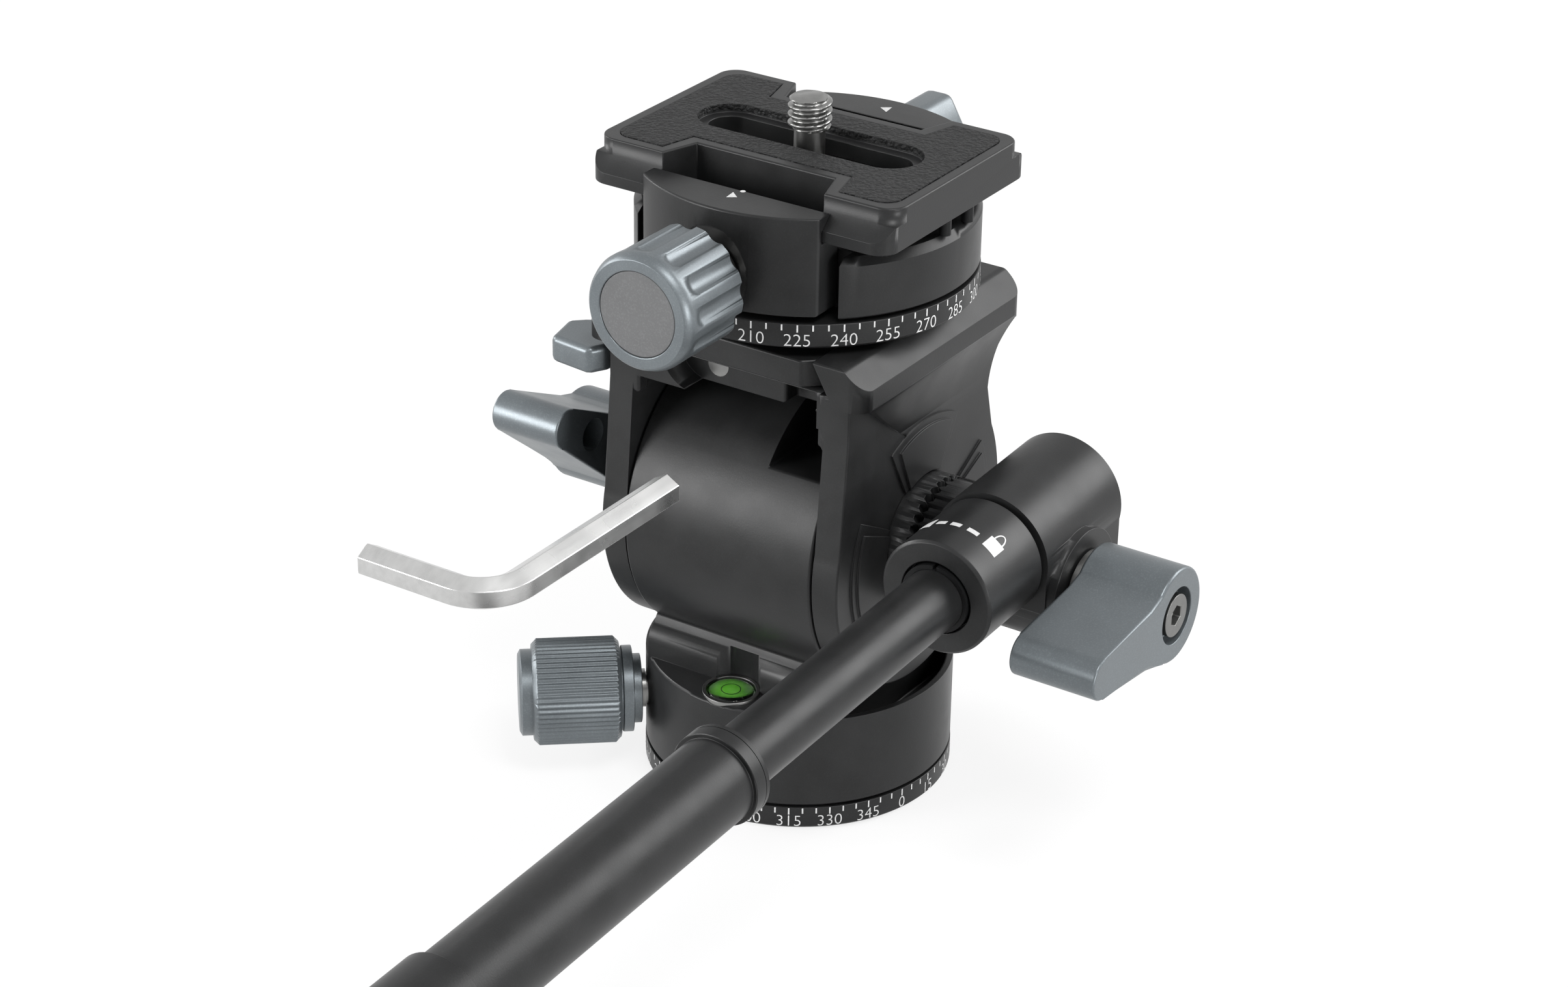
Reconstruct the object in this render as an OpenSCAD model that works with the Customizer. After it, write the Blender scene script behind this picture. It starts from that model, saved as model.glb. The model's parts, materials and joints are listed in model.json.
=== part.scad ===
// Fluid video head: panning base, tilt drum and yoke, upper panning clamp, telescopic handle.
// Origin at the centre of the base's underside. +Z up, +X along the tilt axis to the handle, +Y to the lens.

/* [Pan base] */
// Radius of the lower scale ring
base_r = 23.48; // [22:0.1:26]
// Height of the lower scale ring
base_h = 3.6; // [3.2:0.1:4]
// Radius of the pan housing
housing_r = 23.43; // [22:0.1:26]
// Height of the pan housing's front ledge
housing_top = 19.1; // [18.8:0.1:19.4]
// Height of the housing's rim beside the arms
rim_top = 18.5; // [18:0.1:18.7]
// Wall radius of the tripod thread
thread_wall_r = 3.97; // [3:0.01:4.2]
// Depth of the threaded insert
insert_h = 11; // [8:0.5:12]

/* [Pan lock] */
// Height of the pan lock's axis
pan_lock_z = 11.76; // [11:0.1:12.4]
// Direction of the pan lock around Z in degrees
pan_lock_deg = 219.4; // [210:0.5:240]
// Radius of the knurled knob
pan_knob_r = 8.2; // [6:0.1:8.6]
// Gap between the housing and the knurl
pan_knob_gap = 4.07; // [3.9:0.01:6]
// Length of the knurl
pan_knob_length = 13.3; // [9:0.1:18]

/* [Tilt drum] */
// Height of the tilt axis
tilt_z = 43; // [42.6:0.1:43.4]
// Radius of the drum
drum_r = 23.04; // [22.4:0.02:23.2]
// Half length of the drum
drum_half = 16; // [15:0.1:17]

/* [Yoke] */
// Gap between the drum and each arm
arm_gap = 0.3; // [0.2:0.05:0.5]
// Thickness of each arm
arm_w = 4.2; // [3.6:0.1:5]
// Radius of the arms' round lower end
arm_r = 22.7; // [22:0.1:22.9]
// Underside of the bridge
bridge_z0 = 67.1; // [66.8:0.1:67.2]
// Top of the bridge's deck
deck_z = 73.2; // [72.9:0.1:73.4]
// Front face of the bridge and arms
front_y = -20.5; // [-21:0.1:-20]
// Top of the wings
wing_top = 78; // [77.8:0.1:78.1]
// How far the wings stand out past the arms
wing_w = 3.2; // [2.6:0.1:3.6]

/* [Upper pan] */
// How far the upper scale ring stands out past the clamp
top_ring_lip = 0.06; // [0:0.01:0.5]
// Underside of the upper scale ring
top_ring_z0 = 79.1; // [78.8:0.1:79.2]
// Top of the upper scale ring
top_ring_z1 = 82.8; // [82:0.1:82.9]
// Thickness of the jaws at the middle
jaw_wall = 5.66; // [5:0.01:6.5]
// Underside of the clamp body
clamp_z0 = 83.3; // [83.2:0.1:83.4]
// Top of the clamp body
clamp_z1 = 92.3; // [92:0.1:92.4]
// Top of both jaws
jaw_top = 98.4; // [98.2:0.1:98.5]
// Half width of the jaws
jaw_half = 14.7; // [13:0.1:15]
// Height of the clamp screw
clamp_screw_z = 88.6; // [88.4:0.1:89]

/* [Quick release plate] */
// How far the plate's ends stand out past the clamp
plate_lip = 0.04; // [0:0.01:4]
// How far the dovetail stands out past the plate's top
dovetail_step = 2.2; // [2:0.1:2.4]
// Half width of the dovetail
dovetail_side = 19.3; // [19.2:0.1:19.4]
// Underside of the plate
plate_z0 = 94.7; // [94.7:0.1:94.9]
// Top of the plate
plate_z1 = 100.9; // [100.6:0.1:101.2]
// Radius of the camera screw's thread
camera_screw_r = 3.175; // [2.9:0.005:3.2]

/* [Clamp knob] */
// Radius of the knob's lobes
knob_r = 8.6; // [7.5:0.1:9]
// Gap between the clamp and the knob
knob_gap = 4.04; // [3:0.01:5]
// Length of the knob
knob_length = 13.4; // [11:0.1:17]
// Number of flutes
knob_flutes = 12; // [8:1:14]

/* [Handle] */
// Distance of the handle's axis from the arm
handle_off = 17; // [17:0.1:17.5]
// Handle axis above the tilt axis where it crosses the middle
handle_rise = 6.74; // [6.5:0.1:7]
// Droop of the handle towards the user in degrees
handle_droop = 2.17; // [0:0.01:4]
// Radius of the socket
socket_r = 9.2; // [9:0.1:9.3]
// Radius of the lock collar
collar_r = 8.75; // [8:0.05:9]
// Radius of the thin tube
thin_r = 4.5; // [4.2:0.1:4.6]
// Radius of the middle tube
mid_r = 6; // [5.6:0.1:6.1]
// Radius of the grip tube
grip_r = 6.88; // [6.8:0.01:7.2]
// Distance along the handle where the middle tube starts
mid_s = 75.5; // [65:0.5:80]
// Distance along the handle where the grip starts
grip_s = 134; // [124:0.5:140]
// Distance along the handle where the grip ends
grip_end_s = 216; // [200:0.5:230]

/* [Locking levers] */
// Radius of a lever's head
lever_head_r = 7.2; // [6.5:0.1:7.6]
// Reach of a lever's tip centre from its pivot
lever_reach = 21.1; // [18:0.1:22]
// Distance of the handle's lever from the handle's axis
lever_off = 12; // [11.7:0.1:12.5]
// Thickness of the handle's lever
lever_w = 13.3; // [11:0.1:15]
// Distance of the tilt lever from the arm on the other side
tilt_lever_off = 9.1; // [8.5:0.1:11]
// Thickness of the tilt lever
tilt_lever_w = 12; // [10:0.1:14]
// Upward angle of the tilt lever in degrees
tilt_lever_deg = 31; // [0:1:60]

/* [Hex key] */
// Width across the key's flats
key_af = 4; // [3.6:0.1:4.1]
// Long arm's axis from the middle
key_x = 12; // [11.5:0.1:12.2]
// Height of the key
key_z = 70; // [69.8:0.1:70.2]
// Free end of the long arm
key_y1 = -52.2; // [-54:0.1:-50]
// Axis of the short arm
key_y0 = -90.5; // [-92:0.1:-89]
// Free end of the short arm
key_x0 = -8.2; // [-9:0.1:-6]

/* [Hidden] */
$fn = 96;
quarter = 90;
whole = 360;
hex_sides = 6;
over = 1;
run_gap = 0.05;
flat_gap = 0.1;
black = "#2c2d2e";
dark = "#1d1e1f";
slate = "#7c8487";
steel = "#b9bbbd";
green = "#5fae3a";
bronze = "#a8834a";
rubber = "#26282a";
edge = 0.4;
soft = 0.8;
seam = 0.2;

// widths that follow one another outwards from the drum
arm_in = drum_half + arm_gap;
arm_out = arm_in + arm_w;
wing_out = arm_out + wing_w;
handle_x = arm_out + handle_off;
lever_x0 = handle_x + lever_off;
lever_x1 = lever_x0 + lever_w;
tilt_lever_x0 = arm_out + tilt_lever_off;
tilt_lever_x1 = tilt_lever_x0 + tilt_lever_w;
block_half = arm_in - seam;

// the plate sets the clamp's size
clamp_r = dovetail_side + jaw_wall;
top_ring_r = clamp_r + top_ring_lip;
plate_half = clamp_r + plate_lip;
plate_side = dovetail_side - dovetail_step;
knob_y1 = -clamp_r - knob_gap;
knob_y0 = knob_y1 - knob_length;

// pan base, inside
plate_core_r = 20.2;
insert_r = 6.2;
neck_r = 9;
neck_top = 7;
pan_drum_r = 14;
pan_drum_top = 14.6;
bearing_wall = 1.6;
seat_r = pan_drum_r + bearing_wall;
drum_room = 0.6;
seat_top = pan_drum_top + drum_room;
retainer_r = 19.8;
retainer_z0 = 4.2;
retainer_h = 2;
housing_z0 = base_h + seam;
drag_h = 0.7;
bearing_h = 1.8;
base_screw_pcd_r = 7.6;
base_screw_r = 0.8;
base_screw_head_r = 1.3;
base_screw_head_h = 1;
base_screw_top = 9;
ring_screw_pcd_r = 17.6;
ring_screw_r = 0.9;
ring_screw_head_r = 1.6;
ring_screw_head_h = 1;
ring_screw_top = 10.5;
ring_screw_start = 30;
screw_count = 3;

// housing's side recess and bubble level
recess_x = arm_in + edge;
recess_wall = 1.13;
recess_r = housing_r - recess_wall;
recess_z = 13;
shoulder_r = 2.9;
shoulder_y = 14.3;
shoulder_z = 21.6;
shoulder_neck = 12;
shoulder_top = 30;
ledge_root = 17;
vial_x = 0.2;
vial_inset = 4.43;
vial_y = vial_inset - housing_r;
vial_r = 3.7;
vial_ring_r = 4.3;
vial_pocket_r = 4.35;
vial_floor = 16.6;
vial_ring_z0 = 18.4;
vial_top = 19.9;
vial_dome_r = 9;
vial_cut_top = 24.4;

// pan lock
shoe_r = 2.4;
shoe_gap = 0.4;
shoe_length = 4;
shoe_s0 = pan_drum_r + shoe_gap;
shoe_s1 = shoe_s0 + shoe_length;
pan_screw_r = 2.45;
pan_screw_s0 = shoe_s1 + shoe_gap;
pan_collar_r = 2.93;
pan_collar_gap = 0.17;
pan_collar_h = 0.7;
pan_collar_s0 = housing_r + pan_collar_gap;
pan_step_s0 = pan_collar_s0 + pan_collar_h;
pan_step_h1 = 1.3;
pan_step_h2 = 1.6;
pan_step_s1 = pan_step_s0 + pan_step_h1;
pan_step_s2 = pan_step_s1 + pan_step_h2;
pan_knob_s0 = housing_r + pan_knob_gap;
pan_knob_s1 = pan_knob_s0 + pan_knob_length;
pan_screw_end = 2.8;
pan_screw_s1 = pan_knob_s1 - pan_screw_end;
pan_step_r0 = 5.3;
pan_step_r1 = 6.6;
pan_waist_r = 6.3;
pan_cap_h = 2.1;
pan_cap_s = pan_knob_s1 + pan_cap_h;
pan_cap_r0 = 6.6;
pan_cap_r1 = 5.9;
knurl_count = 60;
knurl_depth = 0.35;
knurl_chamfer = 0.9;

// inside the drum
cavity_r = 13.4;
cap_h = 3.5;
cavity_x0 = cap_h - drum_half;
drum_wall = 5;
cavity_x1 = drum_half - drum_wall;
bearing_r = 9.5;
bearing_x1 = drum_half - cap_h;
shaft_r = 6;
stud_r = 3;
vane_r = 12.6;
vane_bore_r = 7.4;
vane_h = 1;
vane_pitch = 2.6;
vane_room = 10;
vane_x0 = cavity_x1 - vane_room;
vane_count = 3;
spring_r = 9.6;
spring_wire_r = 0.8;
spring_room = 1.5;
spring_x0 = cavity_x0 + spring_room;
spring_pitch = 1.75;
spring_turns = 6;
pocket_x = 5.6;
pocket_z = 57.4;
pocket_y1 = 6;

// yoke details
arm_front = [[-22.5, 43.5], [-20.5, 66], [-20.5, 73.2]];
arm_rear = [[21.5, 73.2], [19.3, 67], [18.5, 60], [22.3, 45]];
wing_y = 22.1;
wing_lean_top = 1.45;
wing_lean_foot = 1.3;
wing_in_top = arm_in - wing_lean_top;
wing_in_foot = arm_in + wing_lean_foot;
wing_flat_in = 0.3;
wing_flat = arm_out - wing_flat_in;
wing_bevel_z = 75;
wing_foot_z = 60;
flare_r = 24.1;
wing_corner_r = 2.6;
arch_z = 71.8;
arch_y0 = -19;
arch_y1 = -3.9;
arch_tip_z = 60.3;
arch_low_z = 50;
rear_y = 20.5;
lip_r = 1.2;
haunch_w = 1.1;
haunch_x = arm_in - haunch_w;
haunch_y = -18;
haunch_z = 64.3;
pad_r0 = 10.4;
pad_r1 = 19;
pad_half_deg = 28.5;
pad_h = 0.35;
pad_inset = 1.1;
pad_inset_deg = 5;
pad_count = 4;
key_bore_r = 2.45;
key_lap = 0.05;
key_recess_x0 = -5.8;
key_recess_room = 3;
key_recess_x1 = key_x + key_recess_room;
key_recess_y = -16;
key_recess_top = 72.5;
key_bend_room = 4.8;
key_bend_depth = 2.9;
scoop_r = 5.5;
magnet_x = -4.5;
magnet_r = 1.75;
magnet_h = 2.4;
left_cut_top = 70.5;

// rosettes
rosette_r = 10.05;
rosette_in_r = 4;
rosette_off = 3.8;
rosette_x = arm_out + rosette_off;
tooth_count = 36;
tooth_h = 0.72;
tooth_w = 1.7;
tooth_start_r = 6;
tooth_gap = 0.12;
tooth_root = 0.3;

// left boss and levers
boss_r = 8.4;
lever_tip_r = 3.15;
lever_tip_drop = 0.3;
lever_side = [[3.5, 5.6], [8, 4.3], [21.3, 2.85], [21.3, -3.45], [8, -5.5], [3.5, -6.3]];
lever_bore_r = 4.3;
lever_bore_h = 2.2;
lever_screw_r = 3.2;
lever_screw_h = 2;
hex_af_r = 1.6;
hex_depth = 1.3;
bolt_r = 2;
washer_r = 5.8;
washer_h = 1.3;
washer_x0 = lever_x0 - flat_gap - washer_h;
hand_hole_r = 2.6;
hand_hole_at = 14.3;
hand_hole_depth = 5;

// platform and its lock
block_z0 = 73.5;
block_z1 = 77.6;
block_foot_gap = 0.3;
block_foot = wing_in_foot - block_foot_gap;
block_top_half = wing_in_top + flat_gap;
block_y = 22;
block_corner = 4;
neck_low_r = 14.3;
neck_split_z = 78.2;
neck_high_r = 19;
top_bore_r = 6;
plat_lever_z0 = 65.8;
plat_lever_z1 = 70;
plat_pivot_off = 0.9;
plat_pivot_x = -arm_out - plat_pivot_off;
plat_pivot_y = -12;
plat_hub_r = 3.2;
plat_pocket_r = 3.7;
plat_pin_r = 1.5;
plat_pin_head_r = 2.4;
plat_pin_head_h = 1.2;
plat_outline = [
  [2.2, -0.5], [0.7, -2.5], [0.1, -7.5], [-1.5, -10.4], [-8.8, -9.6],
  [-10.1, -4], [-8, -2], [-1.2, 2.7], [1.2, 2.4]
];
plunger_r = 1.4;
plunger_z = 75.6;
plat_cam_r = 1.2;
plat_cam_deg = 110;
plat_cam_h = 1.1;
plat_cam_z0 = plunger_z - plunger_r - flat_gap;
plat_cam_off = 0.28;
plunger_x0 = plat_pivot_x + plat_cam_off * cos(plat_cam_deg) + plat_cam_r + flat_gap;
plunger_x1 = flat_gap - block_foot;

// upper pan, inside
spindle_neck_r = 9;
spindle_flange_r = 12.4;
spindle_flange_z0 = 84.2;
spindle_flange_z1 = 85.5;
upper_cavity_r = 12.7;
upper_cavity_top = 85.6;
upper_retainer_r = 16;
upper_retainer_z0 = 83.4;
upper_retainer_z1 = 84.1;
platform_screw_at = 10.5;
platform_screw_r = 1.2;
platform_screw_head_r = 2;
platform_screw_head_h = 1.2;
top_lock_z = 85.2;
top_lock_r = 1.7;
top_shoe_length = 3.4;
top_shoe_y0 = spindle_flange_r + shoe_gap;
top_shoe_y1 = top_shoe_y0 + top_shoe_length;
top_screw_y0 = top_shoe_y1 + shoe_gap;
top_lever_gap = 2.04;
top_lever_w = 9.5;
top_lever_y0 = clamp_r + top_lever_gap;
top_lever_y1 = top_lever_y0 + top_lever_w;
top_screw_end = 2.5;
top_screw_y1 = top_lever_y1 - top_screw_end;
top_collar_r = 3.4;
top_collar_h = 1.6;
top_collar_y0 = top_lever_y0 - top_collar_h;
top_hub_r = 5.2;
top_lever_shape = [[-5, 86], [-4.4, 92.5], [-2, 96.7], [2, 96.7], [4.4, 92.5], [5, 86]];

// clamp body and jaws
jaw_slot_side = 2.1;
jaw_slot_half = jaw_half + jaw_slot_side;
jaw_slot_in = 4.7;
jaw_slot_y = jaw_slot_in - dovetail_side;
jaw_z0 = 83.9;
jaw_back_gap = 0.6;
jaw_back_y = jaw_slot_y - jaw_back_gap;
jaw_seat_z = 94.6;
jaw_undercut_z = 96.4;
jaw_gap = 0.1;
crescent_bevel = 1.1;
dish_r = 14;
dish_off = 12.04;
dish_y = -clamp_r - dish_off;
clamp_screw_r = 2.5;
clamp_screw_y1 = -2;
clamp_washer_r = 3.8;
guide_x = 9.5;
guide_r = 1.5;
guide_in = 4.36;
guide_mouth_y = guide_in - clamp_r;
guide_depth = 8.6;
guide_y1 = jaw_slot_y + guide_depth;

// clamp knob
knob_rim_r = 8.2;
knob_bevel = 1.4;
knob_disc_r = 6.17;
knob_disc_h = 0.8;
knob_disc_sink = 0.12;
flute_r = 2;
flute_at = 9.75;
flute_end = 1.9;
flute_phase = 5;
knob_screw_end = 2.4;
knob_screw_y0 = knob_y0 + knob_screw_end;

// plate details
plate_corner = 3;
flange_z = 98.5;
notch_mouth = 13.4;
notch_floor = 11.5;
notch_depth_run = 5.7;
notch_y = plate_side - notch_depth_run;
channel_wall = 3.2;
channel_half = notch_y - channel_wall;
channel_end = 3.6;
channel_x = plate_half - channel_end;
channel_top = 97.3;
slot_end = 11.65;
slot_half = plate_half - slot_end;
slot_r = 3.3;
opening_half = slot_half;
opening_r = 4.9;
lip_z = 99.7;
pad_inset_edge = 1.8;
pad_floor = 100;
pad_top = 101;
stop_pin_r = 0.9;
stop_pin_in = 1;
stop_pin_x = plate_half - stop_pin_in;
stop_pin_y = [-2.2, 3.9];
stop_pin_z0 = 92.4;
stop_pin_z1 = 96;
cam_thread_z0 = 102.3;
cam_thread_z1 = 106.9;
cam_neck_r = 2.25;
cam_head_r = 7;
cam_head_z0 = 94.9;
cam_head_z1 = 96.5;
cam_slot_w = 1.6;
cam_slot_h = 0.9;
cam_washer_z1 = 97.2;
cam_washer_r = 5;

// handle details
socket_front_s = 9;
socket_back_s = -12.5;
socket_bore_s = 3;
pivot_r = 8.85;
socket_heel = 4;
socket_wall = 9.05;
end_disc_r = 8.8;
end_disc_x1 = washer_x0 - seam;
collar_gap = 0.55;
collar_length = 14.65;
collar_s0 = socket_front_s + collar_gap;
collar_s1 = collar_s0 + collar_length;
collar_wall = 1.4;
collar_wall_s = collar_s1 - collar_wall;
collet_wall = 0.7;
collet_r = thin_r + collet_wall;
collet_bore_r = collet_r + run_gap;
collar_mouth_gap = 0.3;
collar_mouth_r = collet_r + collar_mouth_gap;
socket_neck_wall = 1.35;
socket_neck_r = collet_bore_r + socket_neck_wall;
socket_neck_s = collar_wall_s - seam;
collet_s0 = 12;
collet_s1 = collar_s1 + edge;
collet_slit = 0.6;
thin_s0 = 3.5;
thin_wall = 1.1;
thin_in_r = thin_r - thin_wall;
tube_lap = 10.5;
thin_end_s = mid_s + tube_lap;
mid_ring_lip = 0.6;
mid_ring_r = mid_r + mid_ring_lip;
mid_ring_s = 3;
mid_lap = 10;
mid_end_s = grip_s + mid_lap;
mid_groove = 0.15;
mid_groove_at = 0.8;
mid_groove_w = 0.12;
grip_cap_h = 3;
grip_plug_h = 8;
handle_z = tilt_z + handle_rise;
hex_turn = whole / hex_sides;
key_corner_r = half(key_af) / cos(half(hex_turn));

function half(v) = v / 2;
function polar(r, a) = [r * cos(a), r * sin(a)];

module disc(r, z0, z1) {
  translate([0, 0, z0]) cylinder(r = r, h = z1 - z0);
}

module ring(r1, r0, z0, z1) {
  difference() {
    disc(r1, z0, z1);
    disc(r0, z0 - over, z1 + over);
  }
}

module turned_ring(r1, r0, z0, z1, e) {
  rotate_extrude()
    polygon([[r0, z0], [r1 - e, z0], [r1, z0 + e], [r1, z1 - e], [r1 - e, z1], [r0, z1]]);
}

module scale_ring(r1, r0, z0, z1) {
  rotate_extrude() polygon([[r0, z0], [r1 - edge, z0], [r1, z0 + edge], [r1, z1], [r0, z1]]);
}

module box(x0, x1, y0, y1, z0, z1) {
  translate([x0, y0, z0]) cube([x1 - x0, y1 - y0, z1 - z0]);
}

module x_rod(r, x0, x1, y, z) {
  translate([x0, y, z]) rotate([0, quarter, 0]) cylinder(r = r, h = x1 - x0);
}

module y_rod(r, y0, y1, x, z) {
  translate([x, y0, z]) rotate([-quarter, 0, 0]) cylinder(r = r, h = y1 - y0);
}

// draws a profile in the YZ plane and carries it along X
module side_profile(x0, x1) {
  translate([x0, 0, 0]) rotate([quarter, 0, quarter]) linear_extrude(x1 - x0) children();
}

// draws a profile in the XZ plane and carries it along Y
module front_profile(y0, y1) {
  translate([0, y1, 0]) rotate([quarter, 0, 0]) linear_extrude(y1 - y0) children();
}

module around(count, start) {
  for (i = [0 : count - 1]) rotate([0, 0, start + i * whole / count]) children();
}

// children along +Z run outwards on the pan lock's axis
module pan_lock_axis() {
  rotate([0, 0, pan_lock_deg]) translate([0, 0, pan_lock_z]) rotate([0, quarter, 0]) children();
}

// children along +Z run forwards on the handle's axis
module handle_axis() {
  translate([handle_x, 0, handle_z]) rotate([quarter + handle_droop, 0, 0]) children();
}

module rounded_plan(hx, hy, r, z0, z1) {
  translate([0, 0, z0]) linear_extrude(z1 - z0) {
    square([hx + hx, hy + hy - r - r], center = true);
    square([hx + hx - r - r, hy + hy], center = true);
    for (sx = [-1, 1], sy = [-1, 1]) translate([sx * (hx - r), sy * (hy - r)]) circle(r = r);
  }
}

module oblong_plan(hx, r, z0, z1) {
  translate([0, 0, z0]) linear_extrude(z1 - z0) {
    square([hx + hx, r + r], center = true);
    for (sx = [-1, 1]) translate([sx * hx, 0]) circle(r = r);
  }
}

// pan base

module base_plate() {
  color(black) difference() {
    ring(plate_core_r, insert_r, 0, base_h);
    around(screw_count, 0) translate([base_screw_pcd_r, 0, 0]) {
      disc(base_screw_r, -over, base_h + over);
      disc(base_screw_head_r, -over, base_screw_head_h + flat_gap);
    }
  }
}

module pan_scale_ring() {
  color(black) scale_ring(base_r, plate_core_r, 0, base_h);
}

module thread_insert() {
  color(steel) ring(insert_r, thread_wall_r, 0, insert_h);
}

module base_screws() {
  color(steel) around(screw_count, 0) translate([base_screw_pcd_r, 0, 0]) {
    disc(base_screw_head_r, flat_gap, base_screw_head_h + flat_gap);
    disc(base_screw_r, flat_gap, base_screw_top);
  }
}

module pan_spindle() {
  color(steel) difference() {
    union() {
      disc(neck_r, base_h, neck_top);
      disc(pan_drum_r, neck_top, pan_drum_top);
    }
    disc(insert_r, base_h - over, pan_drum_top + over);
    around(screw_count, 0) translate([base_screw_pcd_r, 0, 0]) disc(base_screw_r, 0, base_screw_top);
  }
}

module pan_drag_disc() {
  color(bronze) ring(pan_drum_r - flat_gap, neck_r, neck_top - drag_h, neck_top);
}

module pan_retaining_ring() {
  color(steel) difference() {
    ring(retainer_r, neck_r + run_gap, retainer_z0, retainer_z0 + retainer_h);
    around(screw_count, ring_screw_start) translate([ring_screw_pcd_r, 0, 0]) {
      disc(ring_screw_r, 0, ring_screw_top);
      disc(ring_screw_head_r, 0, retainer_z0 + ring_screw_head_h);
    }
  }
}

module pan_ring_screws() {
  color(steel) around(screw_count, ring_screw_start) translate([ring_screw_pcd_r, 0, 0]) {
    disc(ring_screw_head_r, retainer_z0, retainer_z0 + ring_screw_head_h);
    disc(ring_screw_r, retainer_z0, ring_screw_top);
  }
}

module pan_bearing() {
  color(bronze) ring(seat_r, pan_drum_r + run_gap, neck_top, neck_top + bearing_h);
}

module shoulder_profile() {
  for (s = [-1, 1]) translate([s * shoulder_y, shoulder_z]) circle(r = shoulder_r);
  polygon([
    [-shoulder_y - shoulder_r, ledge_root], [-shoulder_y - shoulder_r, shoulder_z],
    [-shoulder_neck, shoulder_top], [shoulder_neck, shoulder_top],
    [shoulder_y + shoulder_r, shoulder_z], [shoulder_y + shoulder_r, ledge_root]
  ]);
}

module pan_housing() {
  color(black) difference() {
    union() {
      difference() {
        turned_ring(housing_r, 0, housing_z0, housing_top, edge);
        for (s = [0, 1]) mirror([s, 0, 0]) {
          intersection() {
            disc(recess_r, recess_z, housing_top + over);
            box(recess_x, housing_r, -housing_r, housing_r, recess_z, housing_top + over);
          }
          box(recess_x, housing_r + over, -housing_r, housing_r, rim_top, housing_top + over);
        }
      }
      side_profile(-block_half, block_half) shoulder_profile();
      x_rod(drum_r, -drum_half, drum_half, 0, tilt_z);
    }
    disc(retainer_r, 0, neck_top - drag_h - flat_gap);
    disc(seat_r, 0, seat_top);
    around(screw_count, ring_screw_start)
      translate([ring_screw_pcd_r, 0, 0]) disc(ring_screw_r, 0, ring_screw_top);
    x_rod(cavity_r, -drum_half - over, cavity_x1, 0, tilt_z);
    x_rod(bearing_r, cavity_x1 - over, drum_half + over, 0, tilt_z);
    box(pocket_x, drum_half + over, -drum_r - over, pocket_y1, pocket_z, tilt_z + drum_r + over);
    translate([vial_x, vial_y, 0]) disc(vial_pocket_r, vial_floor, vial_cut_top);
    pan_lock_axis() disc(shoe_r + run_gap + run_gap, half(seat_r), housing_r + over);
  }
}

module pan_brake_shoe() {
  color(bronze) pan_lock_axis() disc(shoe_r, shoe_s0, shoe_s1);
}

module pan_lock_screw() {
  color(steel) pan_lock_axis() {
    disc(pan_screw_r, pan_screw_s0, pan_screw_s1);
    disc(pan_collar_r, pan_collar_s0, pan_step_s0);
  }
}

module knurl(r, s0, s1) {
  points = [for (i = [0 : knurl_count + knurl_count - 1])
    polar(i % 2 == 0 ? r : r - knurl_depth, i * half(whole / knurl_count))];
  intersection() {
    translate([0, 0, s0]) linear_extrude(s1 - s0) polygon(points);
    rotate_extrude() polygon([
      [0, s0], [r - knurl_chamfer, s0], [r + edge, s0 + knurl_chamfer + edge],
      [r + edge, s1 - knurl_chamfer - edge], [r - knurl_chamfer, s1], [0, s1]
    ]);
  }
}

module pan_lock_knob() {
  color(slate) pan_lock_axis() difference() {
    union() {
      disc(pan_step_r0, pan_step_s0, pan_step_s1);
      disc(pan_step_r1, pan_step_s1, pan_step_s2);
      disc(pan_waist_r, pan_step_s2, pan_knob_s0);
      knurl(pan_knob_r, pan_knob_s0, pan_knob_s1);
      rotate_extrude() polygon([
        [0, pan_knob_s1], [pan_cap_r0, pan_knob_s1], [pan_cap_r0, pan_cap_s - edge],
        [pan_cap_r1, pan_cap_s], [0, pan_cap_s]
      ]);
    }
    disc(pan_screw_r, 0, pan_screw_s1);
  }
}

module bubble_vial() {
  color(green) translate([vial_x, vial_y, 0]) intersection() {
    disc(vial_r, vial_floor, housing_top + over);
    translate([0, 0, housing_top + soft - vial_dome_r]) sphere(r = vial_dome_r);
  }
}

module vial_ring() {
  color(steel) translate([vial_x, vial_y, 0]) ring(vial_ring_r, vial_r, vial_ring_z0, vial_top - edge);
}

// inside the drum

module drum_cap() {
  color(dark) difference() {
    x_rod(cavity_r, -drum_half, cavity_x0, 0, tilt_z);
    x_rod(bearing_r, -drum_half - over, cavity_x0 + over, 0, tilt_z);
  }
}

module tilt_bearings() {
  color(bronze) for (s = [0, 1]) mirror([s, 0, 0]) difference() {
    x_rod(bearing_r, bearing_x1, drum_half, 0, tilt_z);
    x_rod(shaft_r + run_gap, bearing_x1 - over, drum_half + over, 0, tilt_z);
  }
}

module vanes(x0, count, r1, r0) {
  for (i = [0 : count - 1]) difference() {
    x_rod(r1, x0 + i * vane_pitch, x0 + i * vane_pitch + vane_h, 0, tilt_z);
    x_rod(r0, x0 + i * vane_pitch - over, x0 + i * vane_pitch + vane_h + over, 0, tilt_z);
  }
}

module shaft_vanes() {
  color(steel) vanes(vane_x0, vane_count, vane_r, shaft_r);
}

module drum_vanes() {
  color(bronze) vanes(vane_x0 + half(vane_pitch), vane_count, cavity_r, vane_bore_r);
}

module counterbalance_spring() {
  color(steel) {
    for (i = [0 : spring_turns - 1])
      translate([spring_x0 + i * spring_pitch, 0, tilt_z]) rotate([0, quarter, 0])
        rotate_extrude() translate([spring_r, 0]) circle(r = spring_wire_r);
    x_rod(spring_wire_r, cavity_x0, spring_x0 + (spring_turns - 1) * spring_pitch, 0, tilt_z + spring_r);
  }
}

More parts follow.
